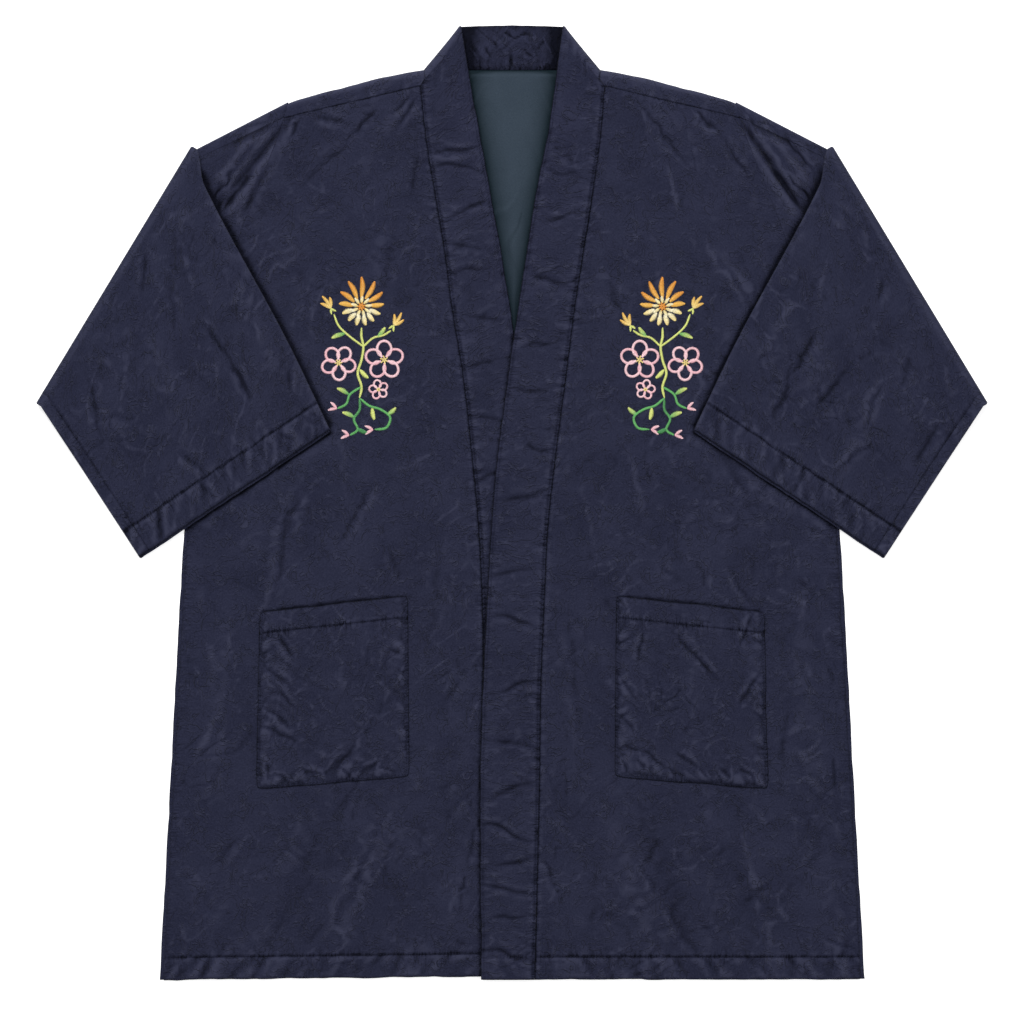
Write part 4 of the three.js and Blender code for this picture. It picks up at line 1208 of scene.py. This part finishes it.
def makePocket(side):
    steps, shades, gathers = pocket["steps"], pocket["shades"], pocket["gathers"]
    width, height = pocket["width"], pocket["height"]
    across = evenSteps(width, *steps["across"])[None]
    up = evenSteps(height, *steps["up"])[:, None]
    fromSide = np.minimum(across, 1 - across) * width + 0 * up
    fromTop = (1 - up) * height + 0 * across
    fromBottom = up * height + 0 * across
    fromHem = fromTop - pocket["hemDepth"]
    dash = 0.6 + 0.4 * softNoise(across * 70, 0 * up, 6)
    # dark stitching and seams, with painted shadow along the mouth
    shade = dash * fading(shades["hem"], fromHem) + fading(shades["side"], fromSide)
    shade = shade + fading(shades["bottom"], fromBottom) + fading(shades["mouth"], fromTop)
    uneven = 0.75 + 0.7 * softNoise(across * 7, up * 9, 95)
    down = fading(gathers["bottom"], fromBottom - 2, 1) + fading(gathers["hem"], fromHem, 1)
    pulled = fading(gathers["side"], fromSide - 1, 1)
    marks = sideMarks(side, worn=shade, pullDown=uneven * down, pullAcross=uneven * pulled)
    grid = onSide(side, pocketPoint(side, across, up))
    piece = wallAround("pocket_" + side + "_cloth", grid, pocket["wall"], marks, roundOut=0.3)
    return finishPiece(piece, navyTwill, "shell", "pocket_" + side)


lining = {
    "bottomY": 176.0, "topY": 454.15, "tuck": 14.0, "rows": 110, "columns": 48,
    "sideShade": (1.25, 11.0), "topShade": (0.6, 5.0),
}


def makeLining():
    y = mix(lining["bottomY"], lining["topY"], np.linspace(0, 1, lining["rows"]))[:, None]
    right = -readTable(bandTable, "rightEdge", y) - lining["tuck"]
    left = readTable(bandTable, "leftEdge", y) + lining["tuck"]
    x = mix(right, left, np.linspace(0, 1, lining["columns"])[None])
    y = y + 0 * x
    fromTop = lining["topY"] - y
    rise = 0.3 + np.maximum(0.5 * washedCrinkle(x, y * 0.4, 91), -0.3)
    z = level["lining"] + mix(-0.7, rise, smoothStep(fromTop, 0, 5))
    fromBand = np.minimum(x - right - lining["tuck"], left - lining["tuck"] - x)
    # painted shade beside the bands that stand over it and along its top under the collar
    shade = fading(lining["sideShade"], np.maximum(fromBand, 0), 1)
    shade = shade + fading(lining["topShade"], fromTop, 1)
    grid = np.stack([x, y, z], axis=2)
    piece = wallAround("neck_lining_cloth", grid, jacket["liningWall"], {"worn": shade})
    return finishPiece(piece, tealLining, "lining", "neck_lining")


fronts = {side: makeFront(side) for side in sides}
sleeves = {side: makeSleeve(side) for side in sides}
pockets = {side: makePocket(side) for side in sides}
backCloth = makeBack()
bandCloth = makeBand()
liningCloth = makeLining()
print("cloth made")


thread = {"length": 2.3, "pitch": 3.3, "thick": 0.32, "colour": (0.011, 0.012, 0.026)}
silk = {"pitch": 0.62, "thick": 0.42, "slant": 0.35}
colours = {
    "amber": (0.70, 0.27, 0.028), "gold": (0.80, 0.45, 0.080), "straw": (0.84, 0.66, 0.24),
    "cream": (0.88, 0.83, 0.60), "pink": (0.90, 0.60, 0.64), "rose": (0.84, 0.44, 0.50),
    "lime": (0.66, 0.71, 0.20), "leaf": (0.11, 0.40, 0.11), "moss": (0.05, 0.24, 0.07),
}


def threadTemplate():
    # one stitch, modelled once: a small round bead drawn out by each place it is copied to
    bpy.ops.object.select_all(action="DESELECT")
    bpy.ops.mesh.primitive_ico_sphere_add(subdivisions=1, radius=1)
    bead = bpy.context.object
    points = np.array([v.co[:] for v in bead.data.vertices])
    faces = np.array([f.vertices[:] for f in bead.data.polygons])
    bpy.data.objects.remove(bead)
    return points, faces


beadPoints, beadFaces = threadTemplate()


def layStitches(name, side, middles, runs, lengths, thick, tints=None):
    # copies of the stitch, each lying along its own run, joined to one piece
    count = len(middles)
    runs = runs / np.linalg.norm(runs, axis=1, keepdims=True)
    sideways = np.cross(np.array([[0, 0, 1.0]]), runs)
    sideways = sideways / np.linalg.norm(sideways, axis=1, keepdims=True)
    upward = np.cross(runs, sideways)
    points = middles[:, None] + beadPoints[None, :, :1] * (runs * lengths[:, None] / 2)[:, None]
    points = points + beadPoints[None, :, 1:2] * (sideways * thick)[:, None]
    points = points + beadPoints[None, :, 2:3] * (upward * thick * 0.75)[:, None]
    points = points.reshape(-1, 3)
    faces = (beadFaces[None] + len(beadPoints) * np.arange(count)[:, None, None]).reshape(-1, 3)
    if side == "right":
        points[:, 0] *= -1
        faces = faces[:, ::-1]
    piece = meshFrom(name, points / 1000, faces)
    if tints is not None:
        layer = piece.data.attributes.new("tint", "FLOAT_COLOR", "POINT")
        rgba = np.concatenate([tints, np.ones((count, 1))], axis=1)
        rgba = np.repeat(rgba, len(beadPoints), axis=0).astype(np.float32)
        layer.data.foreach_set("color", rgba.ravel())
    return piece


def alongPath(points, pitch):
    # points and directions spaced evenly along a path
    steps = np.linalg.norm(np.diff(points, axis=0), axis=1)
    travelled = np.concatenate([[0], np.cumsum(steps)])
    places = np.arange(pitch / 2, travelled[-1], pitch)
    spaced, ahead, behind = [
        np.stack([np.interp(places + shift, travelled, line) for line in points.T], axis=1)
        for shift in (0, pitch / 4, -pitch / 4)
    ]
    return spaced, ahead - behind, places / travelled[-1]


def onFront(side, x, y):
    height = frontMiddle(side, x, y) + jacket["wall"] / 2
    return np.stack([x, y - hemDrop(side, x, y), height], axis=-1)


def lifted(points, amount):
    return points + np.array([0, 0, amount])


def sewingPaths(side):
    hemY = jacket["hemY"] + jacket["hemLift"][side] + jacket["hemDepth"]
    x = np.linspace(bandSeam(side, hemY) + 3, sideX(hemY) - 6, 400)
    upBand = np.linspace(-498, jacket["seamInner"][1], 1100)
    bandLines = (band["sewn"]["front"] / band["width"], 1 - band["sewn"]["open"] / band["width"])
    up = np.linspace(0.012, 0.985, 250)
    across = np.linspace(0.015, 0.985, 220)
    inset = pocket["sewn"] / pocket["width"]
    bottom = pocket["sewn"] / pocket["height"]
    mouth = 1 - pocket["hemDepth"] / pocket["height"]
    pocketLines = ((inset, up), (1 - inset, up), (across, bottom), (across, mouth))
    acrossCuff = np.linspace(0.01, 0.94, 400)
    return {
        "hem": [onFront(side, x, hemY + 0 * x)],
        "band": [
            lifted(bandPoint(side, line, upBand), jacket["bandWall"] / 2) for line in bandLines
        ],
        "pocket": [
            lifted(pocketPoint(side, *line), jacket["wall"] / 2) for line in pocketLines
        ],
        "cuff": [sleeveTopPoint(side, acrossCuff, sleeve["hemDepth"])],
    }


def threadMaterial():
    material, tree, shader = newMaterial("navyThread")
    fibre = addNode(tree, "ShaderNodeTexCoord").outputs["Object"]
    twist = addNode(tree, "ShaderNodeTexNoise", [("Vector", fibre)], Scale=1400.0, Detail=2.0)
    tone = addNode(tree, "ShaderNodeMix", [(0, twist.outputs["Fac"])], data_type="RGBA")
    setInputs(tone, {
        slot: tuple(share * c for c in thread["colour"]) + (1,)
        for slot, share in ((6, 0.6), (7, 1.5))
    })
    bump = addNode(tree, "ShaderNodeBump", [("Height", twist.outputs["Fac"])], Distance=0.0001)
    tree.links.new(tone.outputs[2], shader.inputs["Base Color"])
    tree.links.new(bump.outputs[0], shader.inputs["Normal"])
    setInputs(shader, {
        "Roughness": 0.6, "Specular IOR Level": 0.15, "Specular Tint": navy["gloss"],
    })
    return material


navyThread = threadMaterial()
for side in sides:
    for place, paths in sewingPaths(side).items():
        spots = [alongPath(path, thread["pitch"]) for path in paths]
        middles = np.concatenate([lifted(spot[0], thread["thick"] * 0.25) for spot in spots])
        runs = np.concatenate([spot[1] for spot in spots])
        lengths = np.full(len(middles), thread["length"])
        name = place + "_stitches_" + side
        piece = layStitches(name, side, middles, runs, lengths, thread["thick"])
        finishPiece(piece, navyThread, "shell")
print("sewing made")


def smoothPath(points, count=60):
    # a soft curve through a few points
    points = np.array(points, float)
    ends = np.concatenate([[2 * points[0] - points[1]], points, [2 * points[-1] - points[-2]]])
    place = np.linspace(0, len(points) - 1 - 1e-9, count * (len(points) - 1))
    i = place.astype(int)
    t = (place - i)[:, None]
    a, b, c, d = ends[i], ends[i + 1], ends[i + 2], ends[i + 3]
    curve = (2 * a - 5 * b + 4 * c - d) * t ** 2 + (3 * b - a - 3 * c + d) * t ** 3
    return 0.5 * (2 * b + (c - a) * t + curve)


def satin(stitches, points, width, colour, ends=0.35, endColour=None):
    # stitches laid side by side across a curve, narrower towards its ends
    spots, runs, shares = alongPath(smoothPath(points), silk["pitch"])
    runs = runs / np.linalg.norm(runs, axis=1, keepdims=True)
    across = np.stack([-runs[:, 1], runs[:, 0]], axis=1) + silk["slant"] * runs
    taper = np.clip(np.minimum(shares, 1 - shares) / ends, 0, 1)
    lengths = width * (0.25 + 0.75 * np.sin(taper * math.pi / 2) ** 0.8)
    start, end = np.array(colours[colour]), np.array(colours[endColour or colour])
    tints = mix(start[None], end[None], shares[:, None])
    stitches.append((spots, across, lengths, tints))


def petal(stitches, centre, angle, near, far, width, colour, endColour=None):
    direction = np.array([math.cos(angle), math.sin(angle)])
    middle = np.array([-direction[1], direction[0]]) * 0.06 * (far - near)
    halfway = centre + direction * (near + far) / 2 + middle
    points = [centre + direction * near, halfway, centre + direction * far]
    satin(stitches, points, width, colour, 0.5, endColour)


def openBlossom(stitches, centre, radius, width, tilt):
    # five petals drawn as outlines round a small heart
    centre = np.array(centre, float)
    for k in range(5):
        angle = tilt + k * math.tau / 5
        along = np.array([math.cos(angle), math.sin(angle)])
        aside = np.array([-along[1], along[0]])
        heart = centre + 0.58 * radius * along
        turns = np.linspace(math.pi * 1.06, math.pi * 2.94, 9)
        ring = [
            heart + radius * (0.42 * math.cos(t) * along + 0.37 * math.sin(t) * aside)
            for t in turns
        ]
        satin(stitches, ring, width, "pink" if k % 2 else "rose", 0.1, "pink")
    for k in range(6):
        petal(stitches, centre, tilt + k * math.tau / 6, 0.4, 0.24 * radius, 1.8, "straw")


def flowerSpray():
    # a full gold bloom with two buds over open blossoms, leaves and curling stems
    stitches = []
    bloom = np.array([158.0, 206.0])
    for k in range(13):
        angle = math.radians(90) + (k - 6) * math.tau / 13
        high = 0.5 + 0.5 * math.sin(angle)
        colour = "amber" if high > 0.75 else "gold" if high > 0.35 else "straw"
        root = "cream" if high < 0.35 else "gold"
        petal(stitches, bloom, angle, 9, 20 + 11 * high ** 2, 7, root, colour)
    for k in range(9):
        angle = 0.2 + k * math.tau / 9
        petal(stitches, bloom, angle, 4, 11.5, 4.6, "straw", "cream")
    for k in range(7):
        petal(stitches, bloom, k * math.tau / 7, 0.4, 4.6, 2.6, "amber")
    for x, y, turn in ((124, 186, 2.1), (190, 204, 0.95)):
        bud = np.array([x, y], float)
        for spread, far in ((-0.5, 12), (0, 16), (0.5, 12)):
            petal(stitches, bud, turn + spread, 0.5, far, 4.6, "straw", "gold")
        for spread in (-0.5, 0.5):
            petal(stitches, bud, turn + math.pi + spread, 0, 6, 3, "lime")
    for path, width, colour, end in (
        ([(127, 181), (135, 176), (146, 173), (156, 164)], 2.6, "lime", "lime"),
        ([(187, 198), (182, 186), (172, 176), (156, 164)], 2.6, "lime", "lime"),
        (
            [(158, 184), (158, 174), (156, 164), (158, 150), (162, 136), (158, 122), (160, 110)],
            3.2, "lime", "lime",
        ),
        ([(160, 110), (150, 102), (138, 98), (128, 90), (132, 79), (144, 77)], 3.2, "leaf", "leaf"),
        ([(158, 122), (170, 114), (174, 104), (183, 99)], 3.0, "leaf", "leaf"),
        ([(160, 110), (160, 98), (166, 88), (162, 77), (170, 71)], 3.2, "moss", "leaf"),
    ):
        satin(stitches, path, width, colour, 0.1, end)
    openBlossom(stitches, (134, 150), 20, 3.3, 0.3)
    openBlossom(stitches, (182, 147), 18, 3.3, 0.9)
    openBlossom(stitches, (140, 119), 10, 2.4, 0.1)
    for x, y, turn, far, colour in (
        (141, 174, 2.2, 13, "leaf"), (175, 178, -0.35, 15, "leaf"), (160, 140, 3.9, 13, "lime"),
        (171, 114, 0.45, 14, "leaf"), (131, 92, 2.4, 12, "leaf"), (147, 100, 4.5, 13, "lime"),
        (165, 90, 0.35, 14, "leaf"), (163, 78, 3.5, 12, "moss"),
    ):
        tip = "lime" if colour == "leaf" else None
        petal(stitches, np.array([x, y], float), turn, 0.5, far, 6, colour, tip)
    for x, y, turn in ((146, 77, -0.1), (184, 99, 0.3), (171, 71, 0.1)):
        for spread in (-0.5, 0.5):
            petal(stitches, np.array([x, y], float), turn + spread, 0, 9, 4, "rose", "pink")
    return stitches


def silkMaterial():
    material, tree, shader = newMaterial("embroiderySilk")
    tint = addNode(tree, "ShaderNodeAttribute", attribute_name="tint").outputs["Color"]
    place = addNode(tree, "ShaderNodeTexCoord").outputs["Object"]
    fibre = addNode(tree, "ShaderNodeTexNoise", [("Vector", place)], Scale=1500.0, Detail=2.0)
    links = [("Value", fibre.outputs["Fac"])]
    soft = addNode(tree, "ShaderNodeMapRange", links, To_Min=0.8, To_Max=1.1)
    links = [(6, tint), (7, soft.outputs[0])]
    tone = addNode(tree, "ShaderNodeMix", links, data_type="RGBA", blend_type="MULTIPLY")
    tone.inputs[0].default_value = 1
    bump = addNode(tree, "ShaderNodeBump", [("Height", fibre.outputs["Fac"])], Distance=0.00008)
    tree.links.new(tone.outputs[2], shader.inputs["Base Color"])
    tree.links.new(bump.outputs[0], shader.inputs["Normal"])
    setInputs(shader, {"Roughness": 0.38, "Sheen Weight": 0.15})
    return material


embroiderySilk = silkMaterial()
spots, across, lengths, tints = [np.concatenate(column) for column in zip(*flowerSpray())]
for side in sides:
    shine = np.random.RandomState(seeds[side]).uniform(0.9, 1.06, (len(spots), 1))
    ends = [spots + across * lengths[:, None] / 2 * sign for sign in (-1, 1)]
    low, high = [onFront(side, end[:, 0], end[:, 1]) for end in ends]
    middles = lifted(np.maximum((low + high) / 2, onFront(side, spots[:, 0], spots[:, 1])), 0.2)
    middles[:, :2] = spots
    shone = np.clip(tints * shine, 0, 0.99)
    piece = layStitches(
        "embroidery_" + side, side, middles, high - low, lengths + 0.5, silk["thick"], shone,
    )
    finishPiece(piece, embroiderySilk, "shell")
print("embroidery made")


studio = {  # metres and watts
    "floor": 8.0, "floorZ": -0.0004, "floorGlow": 0.6, "skyStrength": 0.5,
    "cameraHeight": 6.0, "sensor": 36.0, "frame": 1.0752, "centreY": -0.0095,
    "softboxes": {  # place, size and power
        "keySoftbox": ((-0.9, 3.6, 4.2), 2.2, 255), "fillSoftbox": ((2.6, -1.6, 5.0), 3.6, 45),
    },
}
bpy.ops.mesh.primitive_plane_add(size=studio["floor"], location=(0, 0, studio["floorZ"]))
floor = bpy.context.object
floor.name = "floor"
bpy.ops.object.transform_apply(location=True, rotation=True, scale=True)
paper, _, paperShader = newMaterial("paleFloor")
setInputs(paperShader, {
    "Base Color": (0.86, 0.86, 0.86, 1), "Roughness": 0.9, "Emission Color": (1, 1, 1, 1),
    "Emission Strength": studio["floorGlow"],
})
floor.data.materials.append(paper)


def addSoftbox(name, place, size, power):
    light = bpy.data.lights.new(name, "AREA")
    light.shape = "SQUARE"
    light.size = size
    light.energy = power
    lamp = bpy.data.objects.new(name, light)
    bpy.context.scene.collection.objects.link(lamp)
    lamp.location = place
    x, y, z = place
    lamp.rotation_euler = (math.atan2(math.hypot(x, y), z), 0, math.atan2(x, -y))


for name, (place, size, power) in studio["softboxes"].items():
    addSoftbox(name, place, size, power)
world = bpy.data.worlds.new("studio")
world.use_nodes = True
background = world.node_tree.nodes["Background"]
setInputs(background, {"Color": (1, 1, 1, 1), "Strength": studio["skyStrength"]})
bpy.context.scene.world = world
bpy.context.scene.view_settings.view_transform = "Standard"

lens = bpy.data.cameras.new("overhead")
lens.sensor_width = studio["sensor"]
lens.lens = studio["sensor"] * studio["cameraHeight"] / studio["frame"]
lens.clip_end = 50
camera = bpy.data.objects.new("overhead", lens)
camera.location = (0, studio["centreY"], studio["cameraHeight"])
bpy.context.scene.collection.objects.link(camera)
bpy.context.scene.camera = camera
print("floor, lights and camera set")
